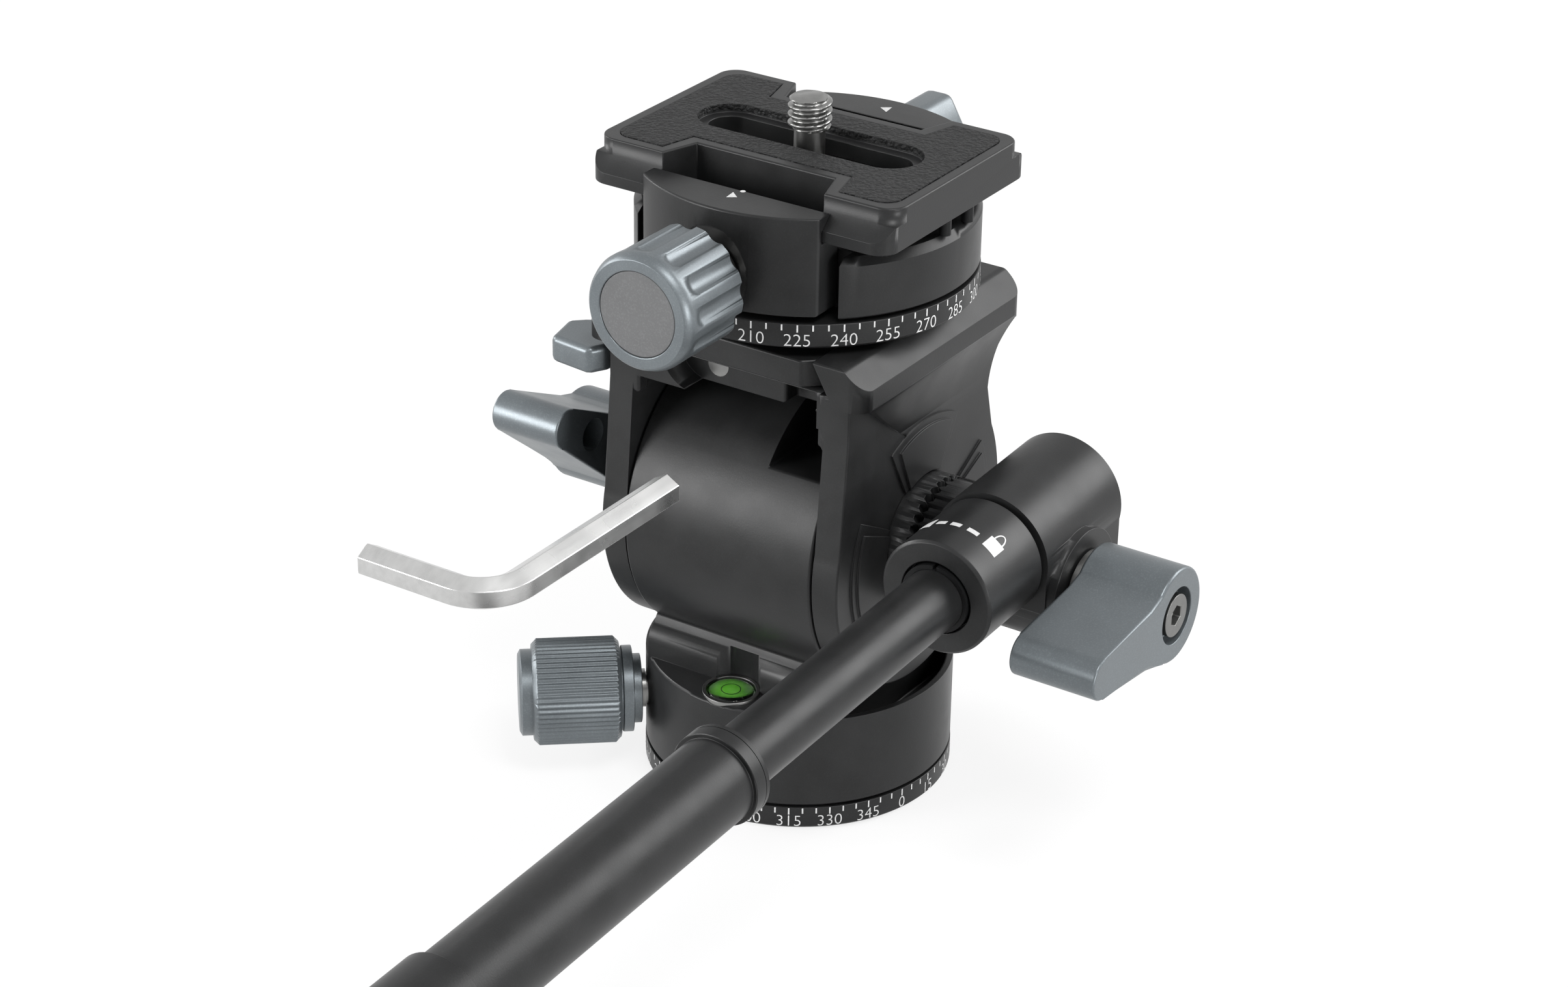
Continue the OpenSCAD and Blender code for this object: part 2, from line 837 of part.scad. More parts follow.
module tilt_shaft() {
  color(steel) difference() {
    union() {
      x_rod(shaft_r, -arm_out, arm_out, 0, tilt_z);
      x_rod(stud_r, -tilt_lever_x1 + lever_bore_h + lever_screw_h, -arm_out, 0, tilt_z);
    }
    x_rod(bolt_r + run_gap, half(arm_in) - flat_gap, arm_out + over, 0, tilt_z);
  }
}

// yoke

module arm_outline() {
  translate([0, tilt_z]) circle(r = arm_r);
  polygon(concat(arm_front, arm_rear));
}

module wing() {
  difference() {
    intersection() {
      front_profile(-wing_y, wing_y) difference() {
        polygon([
          [arm_in, wing_foot_z], [arm_in, deck_z], [wing_in_foot, deck_z], [wing_in_top, wing_top],
          [wing_flat, wing_top], [wing_out, wing_bevel_z], [wing_out, wing_foot_z]
        ]);
        translate([arm_out + flare_r, wing_foot_z]) circle(r = flare_r);
      }
      rounded_plan(wing_out, wing_y, wing_corner_r, wing_foot_z - over, wing_top + over);
    }
    side_profile(arm_out, wing_out + over) polygon([
      [-wing_y - over, arch_low_z], [-wing_y - over, arch_z], [arch_y0, arch_z],
      [arch_y1, arch_tip_z], [arch_y1, arch_low_z]
    ]);
    side_profile(arm_in - over, arm_out) polygon([
      [-wing_y - over, arch_low_z], [-wing_y - over, arch_z], [front_y, arch_z], [front_y, arch_low_z]
    ]);
    side_profile(arm_in - over, wing_out + over) polygon([
      [wing_y + over, wing_foot_z - over], [wing_y + over, deck_z], arm_rear[0], arm_rear[1],
      arm_rear[2], [arm_rear[2][0], wing_foot_z - over]
    ]);
  }
}

module rosette_teeth(side) {
  for (i = [0 : tooth_count - 1]) rotate([i * whole / tooth_count, 0, 0])
    translate([0, 0, tooth_start_r]) linear_extrude(rosette_r)
      polygon([
        [-side * tooth_root, -half(tooth_w)], [-side * tooth_root, half(tooth_w)], [side * tooth_h, 0]
      ]);
}

module fixed_rosette() {
  color(black) difference() {
    intersection() {
      union() {
        x_rod(rosette_r, arm_out, rosette_x - tooth_h, 0, tilt_z);
        translate([rosette_x - tooth_h, 0, tilt_z]) rosette_teeth(1);
      }
      x_rod(rosette_r, arm_out, rosette_x, 0, tilt_z);
    }
    x_rod(rosette_in_r, arm_out - over, rosette_x + over, 0, tilt_z);
  }
}

module pad_sector(r0, r1, a) {
  intersection() {
    difference() {
      circle(r = r1);
      circle(r = r0);
    }
    polygon([[0, 0], polar(r1 + r1, -a), [r1 + r1, 0], polar(r1 + r1, a)]);
  }
}

module arm_pads() {
  for (i = [0 : pad_count - 1]) translate([arm_out, 0, tilt_z]) rotate([i * whole / pad_count, 0, 0])
    rotate([quarter, 0, quarter]) {
      linear_extrude(pad_h) pad_sector(pad_r0, pad_r1, pad_half_deg);
      linear_extrude(pad_h + pad_h) pad_sector(pad_r0, pad_r1 - pad_inset, pad_half_deg - pad_inset_deg);
    }
}

module bridge() {
  difference() {
    box(-arm_in, arm_in, front_y, rear_y, bridge_z0, deck_z);
    box(-arm_in, arm_in, front_y - over, front_y + lip_r, deck_z - lip_r, deck_z + over);
  }
  x_rod(lip_r, -arm_in, arm_in, front_y + lip_r, deck_z - lip_r);
  for (s = [0, 1]) mirror([s, 0, 0]) box(haunch_x, arm_in, front_y, haunch_y, haunch_z, bridge_z0 + over);
}

module yoke() {
  color(black) difference() {
    union() {
      for (s = [0, 1]) mirror([s, 0, 0]) {
        side_profile(arm_in, arm_out) arm_outline();
        wing();
      }
      bridge();
      arm_pads();
    }
    x_rod(shaft_r, -arm_out - over, arm_out + over, 0, tilt_z);
    y_rod(key_bore_r, front_y - over, rear_y + over, key_x, key_z);
    box(key_recess_x0, key_recess_x1, front_y - over, key_recess_y, bridge_z0 - over, key_recess_top);
    intersection() {
      y_rod(scoop_r, front_y - over, key_recess_y, key_recess_x0, key_recess_top);
      box(-arm_in, key_recess_x0 + over, front_y - over, key_recess_y, bridge_z0 - over, key_recess_top);
    }
    box(
      key_x - key_bend_room, key_x, key_recess_y - over, key_recess_y + key_bend_depth,
      bridge_z0 - over, key_recess_top
    );
    y_rod(magnet_r, key_recess_y - over, key_recess_y + magnet_h, magnet_x, key_z);
    translate([plat_pivot_x, plat_pivot_y, 0]) {
      disc(plat_pocket_r, plat_lever_z0 - flat_gap - edge, left_cut_top);
      disc(plat_pin_r + run_gap, bridge_z0 - key_af, plat_cam_z0 + plat_cam_h + flat_gap);
      disc(plat_pin_head_r + flat_gap, bridge_z0 - key_af, plat_lever_z0);
    }
    box(-wing_out - over, -arm_out, -wing_y - over, arch_y1, arch_tip_z, left_cut_top);
    x_rod(plunger_r + run_gap, plunger_x0 - edge, -wing_in_top + over, plat_pivot_y, plunger_z);
  }
}

module key_magnet() {
  color(steel) y_rod(magnet_r, key_recess_y, key_recess_y + magnet_h, magnet_x, key_z);
}

module lever_outline(reach) {
  circle(r = lever_head_r);
  polygon([for (p = lever_side) [-p[0] * reach / lever_reach, p[1]]]);
  translate([-reach, -lever_tip_drop]) circle(r = lever_tip_r);
}

module tilt_lock_boss() {
  color(dark) difference() {
    x_rod(boss_r, -tilt_lever_x0 + edge, -arm_out, 0, tilt_z);
    x_rod(stud_r, -tilt_lever_x0 - over, -arm_out + over, 0, tilt_z);
  }
}

module tilt_lock_lever() {
  color(slate) difference() {
    translate([0, 0, tilt_z]) rotate([-tilt_lever_deg, 0, 0])
      side_profile(-tilt_lever_x1, -tilt_lever_x0) lever_outline(lever_reach);
    x_rod(stud_r + run_gap, -tilt_lever_x1 - over, -arm_out, 0, tilt_z);
    x_rod(lever_bore_r, -tilt_lever_x1 - over, -tilt_lever_x1 + lever_bore_h, 0, tilt_z);
    translate([0, 0, tilt_z]) rotate([-tilt_lever_deg, 0, 0])
      x_rod(hand_hole_r, -tilt_lever_x0 - hand_hole_depth, -arm_out, -hand_hole_at, 0);
  }
}

module hex_socket(at, depth, out) {
  translate([at, 0, tilt_z]) rotate([0, out * quarter, 0])
    translate([0, 0, -depth]) cylinder(r = hex_af_r, h = depth + over, $fn = hex_sides);
}

module tilt_lever_screw() {
  color(steel) difference() {
    x_rod(lever_screw_r, -tilt_lever_x1 + flat_gap, -tilt_lever_x1 + lever_bore_h, 0, tilt_z);
    hex_socket(-tilt_lever_x1 + flat_gap, hex_depth, -1);
  }
}

// platform on the yoke's dovetail

module platform_lever() {
  color(slate) difference() {
    union() {
      translate([plat_pivot_x, plat_pivot_y, 0]) disc(plat_hub_r, plat_lever_z0, plat_lever_z1);
      translate([plat_pivot_x, plat_pivot_y, plat_lever_z0])
        linear_extrude(plat_lever_z1 - plat_lever_z0) polygon(plat_outline);
    }
    translate([plat_pivot_x, plat_pivot_y, 0]) disc(plat_pin_r, 0, wing_top);
  }
}

module platform_lever_pin() {
  color(steel) translate([plat_pivot_x, plat_pivot_y, 0]) {
    disc(plat_pin_r, plat_lever_z0 - flat_gap - edge, plat_cam_z0);
    rotate([0, 0, plat_cam_deg]) translate([plat_cam_off, 0, 0])
      disc(plat_cam_r, plat_cam_z0 - edge, plat_cam_z0 + plat_cam_h);
    disc(plat_pin_head_r, plat_lever_z0 - plat_pin_head_h - flat_gap, plat_lever_z0 - flat_gap);
  }
}

module platform_plunger() {
  color(steel) x_rod(plunger_r, plunger_x0, plunger_x1, plat_pivot_y, plunger_z);
}

module platform_block() {
  color(black) difference() {
    union() {
      intersection() {
        front_profile(-block_y, block_y) polygon([
          [-block_foot, block_z0], [-block_top_half, block_z1],
          [block_top_half, block_z1], [block_foot, block_z0]
        ]);
        translate([0, 0, block_z0 - over]) linear_extrude(wing_top) polygon([
          [-block_foot, -block_y + block_corner], [-block_foot + block_corner, -block_y],
          [block_foot - block_corner, -block_y], [block_foot, -block_y + block_corner],
          [block_foot, block_y - block_corner], [block_foot - block_corner, block_y],
          [-block_foot + block_corner, block_y], [-block_foot, block_y - block_corner]
        ]);
      }
      disc(neck_low_r, block_z1, neck_split_z);
      disc(neck_high_r, neck_split_z, top_ring_z0);
    }
    for (s = [-1, 1]) translate([0, s * platform_screw_at, 0]) {
      disc(platform_screw_r, 0, wing_top + wing_top);
      disc(platform_screw_head_r, 0, block_z0 + platform_screw_head_h + flat_gap);
    }
  }
}

module platform_screws() {
  color(steel) for (s = [-1, 1]) translate([0, s * platform_screw_at, 0]) {
    disc(platform_screw_r, block_z0 + flat_gap, top_ring_z1);
    disc(platform_screw_head_r, block_z0 + flat_gap, block_z0 + flat_gap + platform_screw_head_h);
  }
}

module top_scale_ring() {
  color(black) difference() {
    scale_ring(top_ring_r, top_bore_r, top_ring_z0, top_ring_z1);
    for (s = [-1, 1]) translate([0, s * platform_screw_at, 0]) disc(platform_screw_r, 0, wing_top + wing_top);
  }
}

module top_spindle() {
  color(steel) {
    disc(spindle_neck_r, top_ring_z1, spindle_flange_z0);
    disc(spindle_flange_r, spindle_flange_z0, spindle_flange_z1);
    disc(top_bore_r, top_ring_z0, top_ring_z1);
  }
}

// clamp

module lens(y_in) {
  intersection() {
    disc(clamp_r, clamp_z0, jaw_top);
    box(-jaw_half, jaw_half, -clamp_r - over, y_in, clamp_z0, jaw_top);
  }
}

module jaw_profile(foot) {
  polygon([
    [-clamp_r - over, foot], [-clamp_r - over, jaw_top],
    [-plate_side - jaw_gap - (flange_z - jaw_top), jaw_top],
    [-dovetail_side - jaw_gap, jaw_undercut_z], [-dovetail_side - jaw_gap, jaw_seat_z],
    [jaw_back_y, jaw_seat_z], [jaw_back_y, foot]
  ]);
}

module jaw_block(foot) {
  intersection() {
    lens(0);
    side_profile(-jaw_half, jaw_half) jaw_profile(foot);
  }
}

module clamp_body() {
  color(black) difference() {
    union() {
      rotate_extrude() polygon([
        [0, clamp_z0], [clamp_r - edge, clamp_z0], [clamp_r, clamp_z0 + edge],
        [clamp_r, clamp_z1 - crescent_bevel], [clamp_r - crescent_bevel, clamp_z1], [0, clamp_z1]
      ]);
      mirror([0, 1, 0]) jaw_block(clamp_z1 - over);
    }
    box(-jaw_slot_half, jaw_slot_half, -clamp_r - over, jaw_slot_y, clamp_z0 - over, clamp_z1 + over);
    disc(upper_cavity_r, clamp_z0 - over, upper_cavity_top);
    disc(upper_retainer_r, clamp_z0 - over, upper_retainer_z1);
    y_rod(top_lock_r + run_gap, half(upper_cavity_r), clamp_r + over, 0, top_lock_z);
    y_rod(clamp_screw_r + run_gap, jaw_slot_y - over, clamp_screw_y1 + over, 0, clamp_screw_z);
    for (s = [-1, 1]) y_rod(guide_r, jaw_slot_y - over, guide_y1, s * guide_x, clamp_screw_z);
  }
}

module top_retaining_ring() {
  color(steel) difference() {
    ring(upper_retainer_r, spindle_neck_r + run_gap, upper_retainer_z0, upper_retainer_z1);
    box(-top_lock_r - edge, top_lock_r + edge, half(upper_retainer_r), clamp_r, clamp_z0 - over, clamp_z1);
    box(-jaw_slot_half, jaw_slot_half, -clamp_r, jaw_slot_y, clamp_z0 - over, clamp_z1);
  }
}

module top_brake_shoe() {
  color(bronze) y_rod(top_lock_r, top_shoe_y0, top_shoe_y1, 0, top_lock_z);
}

module top_lock_screw() {
  color(steel) {
    y_rod(top_lock_r, top_screw_y0, top_screw_y1, 0, top_lock_z);
    y_rod(top_collar_r, top_collar_y0, top_lever_y0, 0, top_lock_z);
  }
}

module top_lock_lever() {
  color(slate) difference() {
    union() {
      y_rod(top_hub_r, top_lever_y0, top_lever_y1, 0, top_lock_z);
      front_profile(top_lever_y0, top_lever_y1) polygon(top_lever_shape);
    }
    y_rod(top_lock_r, 0, top_screw_y1, 0, top_lock_z);
  }
}

module front_jaw() {
  color(black) difference() {
    jaw_block(jaw_z0);
    translate([0, dish_y, clamp_screw_z]) sphere(r = dish_r);
    y_rod(clamp_screw_r + run_gap, -clamp_r - over, 0, 0, clamp_screw_z);
    for (s = [-1, 1]) y_rod(guide_r + run_gap, guide_mouth_y, 0, s * guide_x, clamp_screw_z);
  }
}

module jaw_guide_pins() {
  color(steel) for (s = [-1, 1]) y_rod(guide_r, guide_mouth_y + edge, guide_y1, s * guide_x, clamp_screw_z);
}

module clamp_screw() {
  color(steel) {
    y_rod(clamp_screw_r, knob_screw_y0, clamp_screw_y1, 0, clamp_screw_z);
    y_rod(clamp_washer_r, knob_y1, dish_y + dish_r - soft, 0, clamp_screw_z);
  }
}

module clamp_knob() {
  color(slate) translate([0, 0, clamp_screw_z]) rotate([quarter, 0, 0]) difference() {
    rotate_extrude() polygon([
      [0, -knob_y1], [knob_rim_r, -knob_y1], [knob_r, -knob_y1 + edge],
      [knob_r, -knob_y0 - knob_bevel], [knob_rim_r, -knob_y0 - edge],
      [knob_rim_r - edge, -knob_y0], [0, -knob_y0]
    ]);
    around(knob_flutes, flute_phase) translate([flute_at, 0, 0]) {
      disc(flute_r, 0, -knob_y0 - flute_end - flute_r);
      translate([0, 0, -knob_y0 - flute_end - flute_r]) sphere(r = flute_r);
    }
    disc(knob_disc_r + run_gap, -knob_y0 - knob_disc_h - knob_disc_sink, -knob_y0 + over);
    disc(clamp_screw_r, 0, -knob_screw_y0);
  }
}

module clamp_knob_disc() {
  disc_y = knob_y0 + knob_disc_sink;
  color(dark) y_rod(knob_disc_r, disc_y, disc_y + knob_disc_h, 0, clamp_screw_z);
}

// quick release plate

module notch_plan(e) {
  for (s = [-1, 1]) polygon([
    [-notch_floor - e, s * (notch_y - e)], [notch_floor + e, s * (notch_y - e)],
    [notch_mouth + e, s * (notch_y + notch_depth_run)], [notch_mouth + e, s * (dovetail_side + over)],
    [-notch_mouth - e, s * (dovetail_side + over)], [-notch_mouth - e, s * (notch_y + notch_depth_run)]
  ]);
}

module notches(e, z0, z1) {
  translate([0, 0, z0]) linear_extrude(z1 - z0) notch_plan(e);
}

module pad_plan(z0, z1) {
  difference() {
    rounded_plan(plate_half - pad_inset_edge, plate_side - pad_inset_edge, plate_corner - edge, z0, z1);
    notches(pad_inset_edge, z0 - over, z1 + over);
    oblong_plan(opening_half, opening_r, z0 - over, z1 + over);
  }
}

module qr_plate() {
  color(black) difference() {
    union() {
      intersection() {
        side_profile(-plate_half, plate_half) polygon([
          [-dovetail_side, plate_z0], [-dovetail_side, jaw_undercut_z], [-plate_side, flange_z],
          [plate_side, flange_z], [dovetail_side, jaw_undercut_z], [dovetail_side, plate_z0]
        ]);
        rounded_plan(plate_half, dovetail_side, plate_corner, plate_z0 - over, plate_z1);
      }
      rounded_plan(plate_half, plate_side, plate_corner, flange_z, plate_z1);
    }
    notches(0, plate_z0 - over, plate_z1 + over);
    box(-channel_x, channel_x, -channel_half, channel_half, plate_z0 - over, channel_top);
    oblong_plan(slot_half, slot_r, plate_z0, plate_z1 + over);
    oblong_plan(opening_half, opening_r, lip_z, plate_z1 + over);
    pad_plan(pad_floor, plate_z1 + over);
    for (y = stop_pin_y) translate([stop_pin_x, y, 0]) disc(stop_pin_r, 0, stop_pin_z1);
  }
}

module plate_pad() {
  color(rubber) pad_plan(pad_floor, pad_top);
}

module plate_stop_pins() {
  color(steel) for (y = stop_pin_y) translate([stop_pin_x, y, 0]) disc(stop_pin_r, stop_pin_z0, stop_pin_z1);
}

module screw_washer() {
  color(steel) ring(cam_washer_r, cam_neck_r + run_gap, cam_head_z1 + flat_gap, cam_washer_z1);
}

module camera_screw() {
  color(steel) difference() {
    union() {
      disc(cam_head_r, cam_head_z0, cam_head_z1);
      disc(cam_neck_r, cam_head_z0, cam_thread_z0);
      disc(camera_screw_r, cam_thread_z0, cam_thread_z1);
    }
    box(-cam_head_r, cam_head_r, -half(cam_slot_w), half(cam_slot_w), 0, cam_head_z0 + cam_slot_h);
  }
}

// handle

module socket_body() {
  handle_axis() disc(socket_r, socket_back_s, socket_front_s);
  side_profile(handle_x - socket_wall, handle_x + socket_wall) {
    translate([0, tilt_z]) circle(r = pivot_r);
    polygon([
      [-socket_front_s, tilt_z - over], [-socket_front_s, handle_z], [-socket_back_s, handle_z],
      [-socket_back_s, tilt_z - socket_heel], [socket_heel, tilt_z - socket_heel - socket_heel]
    ]);
  }
  x_rod(end_disc_r, handle_x, end_disc_x1, 0, tilt_z);
}

module handle_socket() {
  root_x = rosette_x + tooth_gap + tooth_h;
  color(black) difference() {
    union() {
      socket_body();
      handle_axis() disc(socket_neck_r, 0, socket_neck_s);
      x_rod(rosette_r, root_x, handle_x - collar_r, 0, tilt_z);
      intersection() {
        translate([root_x, 0, tilt_z]) rosette_teeth(-1);
        x_rod(rosette_r, rosette_x, root_x + tooth_root, 0, tilt_z);
      }
    }
    x_rod(rosette_in_r, rosette_x - over, root_x, 0, tilt_z);
    x_rod(bolt_r + run_gap, 0, end_disc_x1 + over, 0, tilt_z);
    handle_axis() {
      disc(thin_r + run_gap, socket_bore_s, socket_neck_s + over);
      disc(collet_bore_r, collet_s0, socket_neck_s + over);
    }
  }
}

module ratchet_washer() {
  color(steel) difference() {
    x_rod(washer_r, washer_x0, lever_x0 - flat_gap, 0, tilt_z);
    x_rod(bolt_r + run_gap, washer_x0 - over, lever_x0 + over, 0, tilt_z);
  }
}

module ratchet_lever() {
  color(slate) difference() {
    translate([0, 0, tilt_z]) side_profile(lever_x0, lever_x1) lever_outline(lever_reach);
    x_rod(bolt_r + run_gap, lever_x0 - over, lever_x1 + over, 0, tilt_z);
    x_rod(lever_bore_r, lever_x1 - lever_bore_h, lever_x1 + over, 0, tilt_z);
  }
}

module ratchet_bolt() {
  color(steel) difference() {
    union() {
      x_rod(bolt_r, half(arm_in), lever_x1 - edge, 0, tilt_z);
      x_rod(lever_screw_r, lever_x1 - lever_bore_h + flat_gap, lever_x1 - flat_gap, 0, tilt_z);
    }
    hex_socket(lever_x1 - flat_gap, hex_depth, 1);
  }
}

module lock_collar() {
  color(black) handle_axis() {
    turned_ring(collar_r, socket_neck_r + run_gap, collar_s0, collar_s1, edge);
    ring(socket_neck_r + edge, collar_mouth_r, collar_wall_s, collar_s1);
  }
}

module collet() {
  color(bronze) handle_axis() difference() {
    ring(collet_r, thin_r + run_gap, collet_s0, collet_s1);
    box(-half(collet_slit), half(collet_slit), 0, collet_r + over, collet_s0 + over, collet_s1 + over);
  }
}

module thin_tube() {
  color(black) handle_axis() ring(thin_r, thin_in_r, thin_s0, thin_end_s);
}

module mid_tube() {
  color(black) handle_axis() difference() {
    union() {
      ring(mid_r, thin_r + run_gap, mid_s + mid_ring_s, mid_end_s);
      turned_ring(mid_ring_r, thin_r + run_gap, mid_s, mid_s + mid_ring_s, mid_groove);
    }
    translate([0, 0, mid_s + mid_groove_at])
      ring(mid_ring_r + over, mid_ring_r - mid_groove, 0, mid_groove_w);
  }
}

module grip_tube() {
  color(black) handle_axis() ring(grip_r, mid_r + run_gap, grip_s, grip_end_s - grip_cap_h);
}

module grip_end_cap() {
  color(dark) handle_axis() {
    turned_ring(grip_r, 0, grip_end_s - grip_cap_h, grip_end_s, soft);
    disc(mid_r + run_gap, grip_end_s - grip_cap_h - grip_plug_h, grip_end_s - grip_cap_h);
  }
}

// hex key

module hex_bar(length) {
  rotate([0, 0, half(hex_turn)]) cylinder(r = key_corner_r, h = length, $fn = hex_sides);
}

module hex_key() {
  bend_r = key_af + half(key_af);
  color(steel) translate([0, 0, key_z]) {
    translate([key_x, key_y0 + bend_r - key_lap, 0]) rotate([-quarter, 0, 0])
      hex_bar(key_y1 - key_y0 - bend_r + key_lap);
    translate([key_x0, key_y0, 0]) rotate([0, quarter, 0]) rotate([0, 0, quarter])
      hex_bar(key_x - bend_r - key_x0 + key_lap);
    translate([key_x - bend_r, key_y0 + bend_r, 0]) rotate([0, 0, -quarter]) rotate_extrude(angle = quarter)
      translate([bend_r, 0]) rotate(half(hex_turn)) circle(r = key_corner_r, $fn = hex_sides);
  }
}

base_plate();
pan_scale_ring();
thread_insert();
base_screws();
pan_spindle();
pan_drag_disc();
pan_retaining_ring();
pan_ring_screws();
pan_bearing();
pan_housing();
pan_brake_shoe();
pan_lock_screw();
pan_lock_knob();
bubble_vial();
vial_ring();
drum_cap();
tilt_bearings();
shaft_vanes();
drum_vanes();
counterbalance_spring();
tilt_shaft();
yoke();
fixed_rosette();
key_magnet();
tilt_lock_boss();
tilt_lock_lever();
tilt_lever_screw();
platform_lever();
platform_lever_pin();
platform_plunger();
platform_block();
platform_screws();
top_scale_ring();
top_spindle();
clamp_body();
top_retaining_ring();
top_brake_shoe();
top_lock_screw();
top_lock_lever();
front_jaw();
jaw_guide_pins();
clamp_screw();
clamp_knob();
clamp_knob_disc();
qr_plate();
plate_pad();
plate_stop_pins();
screw_washer();
camera_screw();
handle_socket();
ratchet_washer();
ratchet_lever();
ratchet_bolt();
lock_collar();
collet();
thin_tube();
mid_tube();
grip_tube();
grip_end_cap();
hex_key();
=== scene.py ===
import json
import math

import bmesh
import bpy
from mathutils import Matrix, Vector


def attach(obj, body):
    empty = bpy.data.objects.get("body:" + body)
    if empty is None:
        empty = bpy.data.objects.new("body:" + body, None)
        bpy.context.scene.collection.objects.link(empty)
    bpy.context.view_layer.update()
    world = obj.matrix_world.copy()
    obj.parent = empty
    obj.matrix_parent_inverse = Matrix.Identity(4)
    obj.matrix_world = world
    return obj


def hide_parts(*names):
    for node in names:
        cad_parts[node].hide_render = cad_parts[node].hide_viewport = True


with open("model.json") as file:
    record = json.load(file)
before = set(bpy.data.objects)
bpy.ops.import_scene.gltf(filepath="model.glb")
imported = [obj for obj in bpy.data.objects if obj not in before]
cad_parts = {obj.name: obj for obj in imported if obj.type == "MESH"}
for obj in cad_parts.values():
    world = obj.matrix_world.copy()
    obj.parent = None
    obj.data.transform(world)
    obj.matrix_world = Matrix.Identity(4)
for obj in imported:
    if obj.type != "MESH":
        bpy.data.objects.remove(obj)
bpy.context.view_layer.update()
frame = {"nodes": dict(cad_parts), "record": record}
MM = 0.001
BODY = {n: b for b, names in frame["record"]["behaviour"]["bodies"].items() for n in names}
SLOT = {s["node"]: s["material_slot"] for s in frame["record"]["subparts"]}

# places and sizes in millimetres, as the CAD model has them
TILT_Z = 43
HANDLE_X, HANDLE_Z = 37.5, 49.74   # where the handle's axis meets the plane y = 0
HANDLE_DROOP = math.radians(2.17)
COLLAR_RADIUS = 8.75
JAW_TOP = 98.4
LEVEL = (0.2, -19)                 # the bubble level's centre

# the photograph's camera, fitted to the degree marks, the plate's edges and the drum's outlines
CAMERA_PLACE = (251.681, -395.212, 282.147)
CAMERA_AZIMUTH, CAMERA_ELEVATION, CAMERA_ROLL = 32.829, 26.948, 0.965
SENSOR_WIDTH, FOCAL_LENGTH = 36, 80.93
CLIP_START, CLIP_END = 0.01, 20

# softboxes: name, azimuth, elevation, width, height and power, in degrees, metres and watts
LAMPS = [
    ("back_right", 142, 28, 0.5, 0.55, 6.5),
    ("front_left", -38, 12, 0.35, 0.4, 7),
    ("left", -80, 18, 0.3, 0.3, 3.5),
    ("high_right", 62, 60, 0.3, 0.3, 4.5),
    ("low_right", 76, 3, 0.3, 0.25, 4.5),
]
LAMP_AIM = (0, 0, 0.05)
LAMP_DISTANCE = 0.9
FLOOR_RADIUS = 6
FLOOR_DROP = 0.0002    # keeps the floor just under the base
FLOOR_GLOW = 0.8       # share of plain white in the floor as the camera and the reflections see it
FILL_LIGHT = 0.38      # strength of the sky on rough surfaces


def link(obj):
    bpy.context.scene.collection.objects.link(obj)
    return obj


def towards(azimuth, elevation):
    """Way from the head to a viewer or a lamp, in degrees; azimuth 0 is -Y and azimuth 90 is +X."""
    a, e = math.radians(azimuth), math.radians(elevation)
    return Vector((math.sin(a) * math.cos(e), -math.cos(a) * math.cos(e), math.sin(e)))


def make_camera():
    back = towards(CAMERA_AZIMUTH, CAMERA_ELEVATION)
    azimuth, roll = math.radians(CAMERA_AZIMUTH), math.radians(CAMERA_ROLL)
    level = Vector((math.cos(azimuth), math.sin(azimuth), 0))
    plumb = back.cross(level)
    right = math.cos(roll) * level + math.sin(roll) * plumb
    up = math.cos(roll) * plumb - math.sin(roll) * level
    data = bpy.data.cameras.new("camera")
    data.sensor_width = SENSOR_WIDTH
    data.lens = FOCAL_LENGTH
    data.clip_start, data.clip_end = CLIP_START, CLIP_END
    camera = link(bpy.data.objects.new("camera", data))
    turn = Matrix((right, up, back)).transposed().to_4x4()
    camera.matrix_world = Matrix.Translation(Vector(CAMERA_PLACE) * MM) @ turn
    bpy.context.scene.camera = camera


# materials

def add_node(tree, kind, inputs=None, **settings):
    """Adds a node; an input is set to a plain value, or linked where the value is a socket."""
    made = tree.nodes.new(kind)
    for key, value in settings.items():
        setattr(made, key, value)
    for key, value in (inputs or {}).items():
        if isinstance(value, bpy.types.NodeSocket):
            tree.links.new(value, made.inputs[key])
        else:
            made.inputs[key].default_value = value
    return made


class Graph:
    """A material and its node tree."""

    def __init__(self, name):
        self.material = bpy.data.materials.new(name)
        self.material.use_nodes = True
        self.tree = self.material.node_tree
        self.tree.nodes.clear()
        self.shader = self.add("ShaderNodeBsdfPrincipled")
        self.out = self.add("ShaderNodeOutputMaterial", {"Surface": self.shader.outputs[0]})
        self.place = self.add("ShaderNodeTexCoord").outputs["Object"]

    def add(self, kind, inputs=None, **settings):
        return add_node(self.tree, kind, inputs, **settings)

    def wire(self, value, socket):
        """Drives one of the shader's inputs."""
        self.tree.links.new(value, self.shader.inputs[socket])

    def math(self, operation, *values):
        return self.add("ShaderNodeMath", dict(enumerate(values)), operation=operation).outputs[0]

    def noise(self, scale, detail=2, vector=None):
        inputs = {"Vector": vector or self.place, "Scale": scale, "Detail": detail}
        return self.add("ShaderNodeTexNoise", inputs).outputs["Fac"]

    def spread(self, value, low, high, start=0.3, end=0.7):
        """Carries the range start to end over to the range low to high."""
        return self.add("ShaderNodeMapRange", {
            "Value": value, "From Min": start, "From Max": end, "To Min": low, "To Max": high}).outputs[0]

    def mix(self, value, first, second):
        """Blends two colours, each a triple or a socket."""
        made = self.add("ShaderNodeMix", {"Factor": value}, data_type="RGBA")
        for index, colour in ((6, first), (7, second)):
            if isinstance(colour, bpy.types.NodeSocket):
                self.tree.links.new(colour, made.inputs[index])
            else:
                made.inputs[index].default_value = (*colour, 1)
        return made.outputs[2]

    def bump(self, height, strength, distance):
        inputs = {"Height": height, "Strength": strength, "Distance": distance}
        return self.add("ShaderNodeBump", inputs).outputs[0]


def tinted(colour, share):
    return tuple(min(1, c * share) for c in colour)


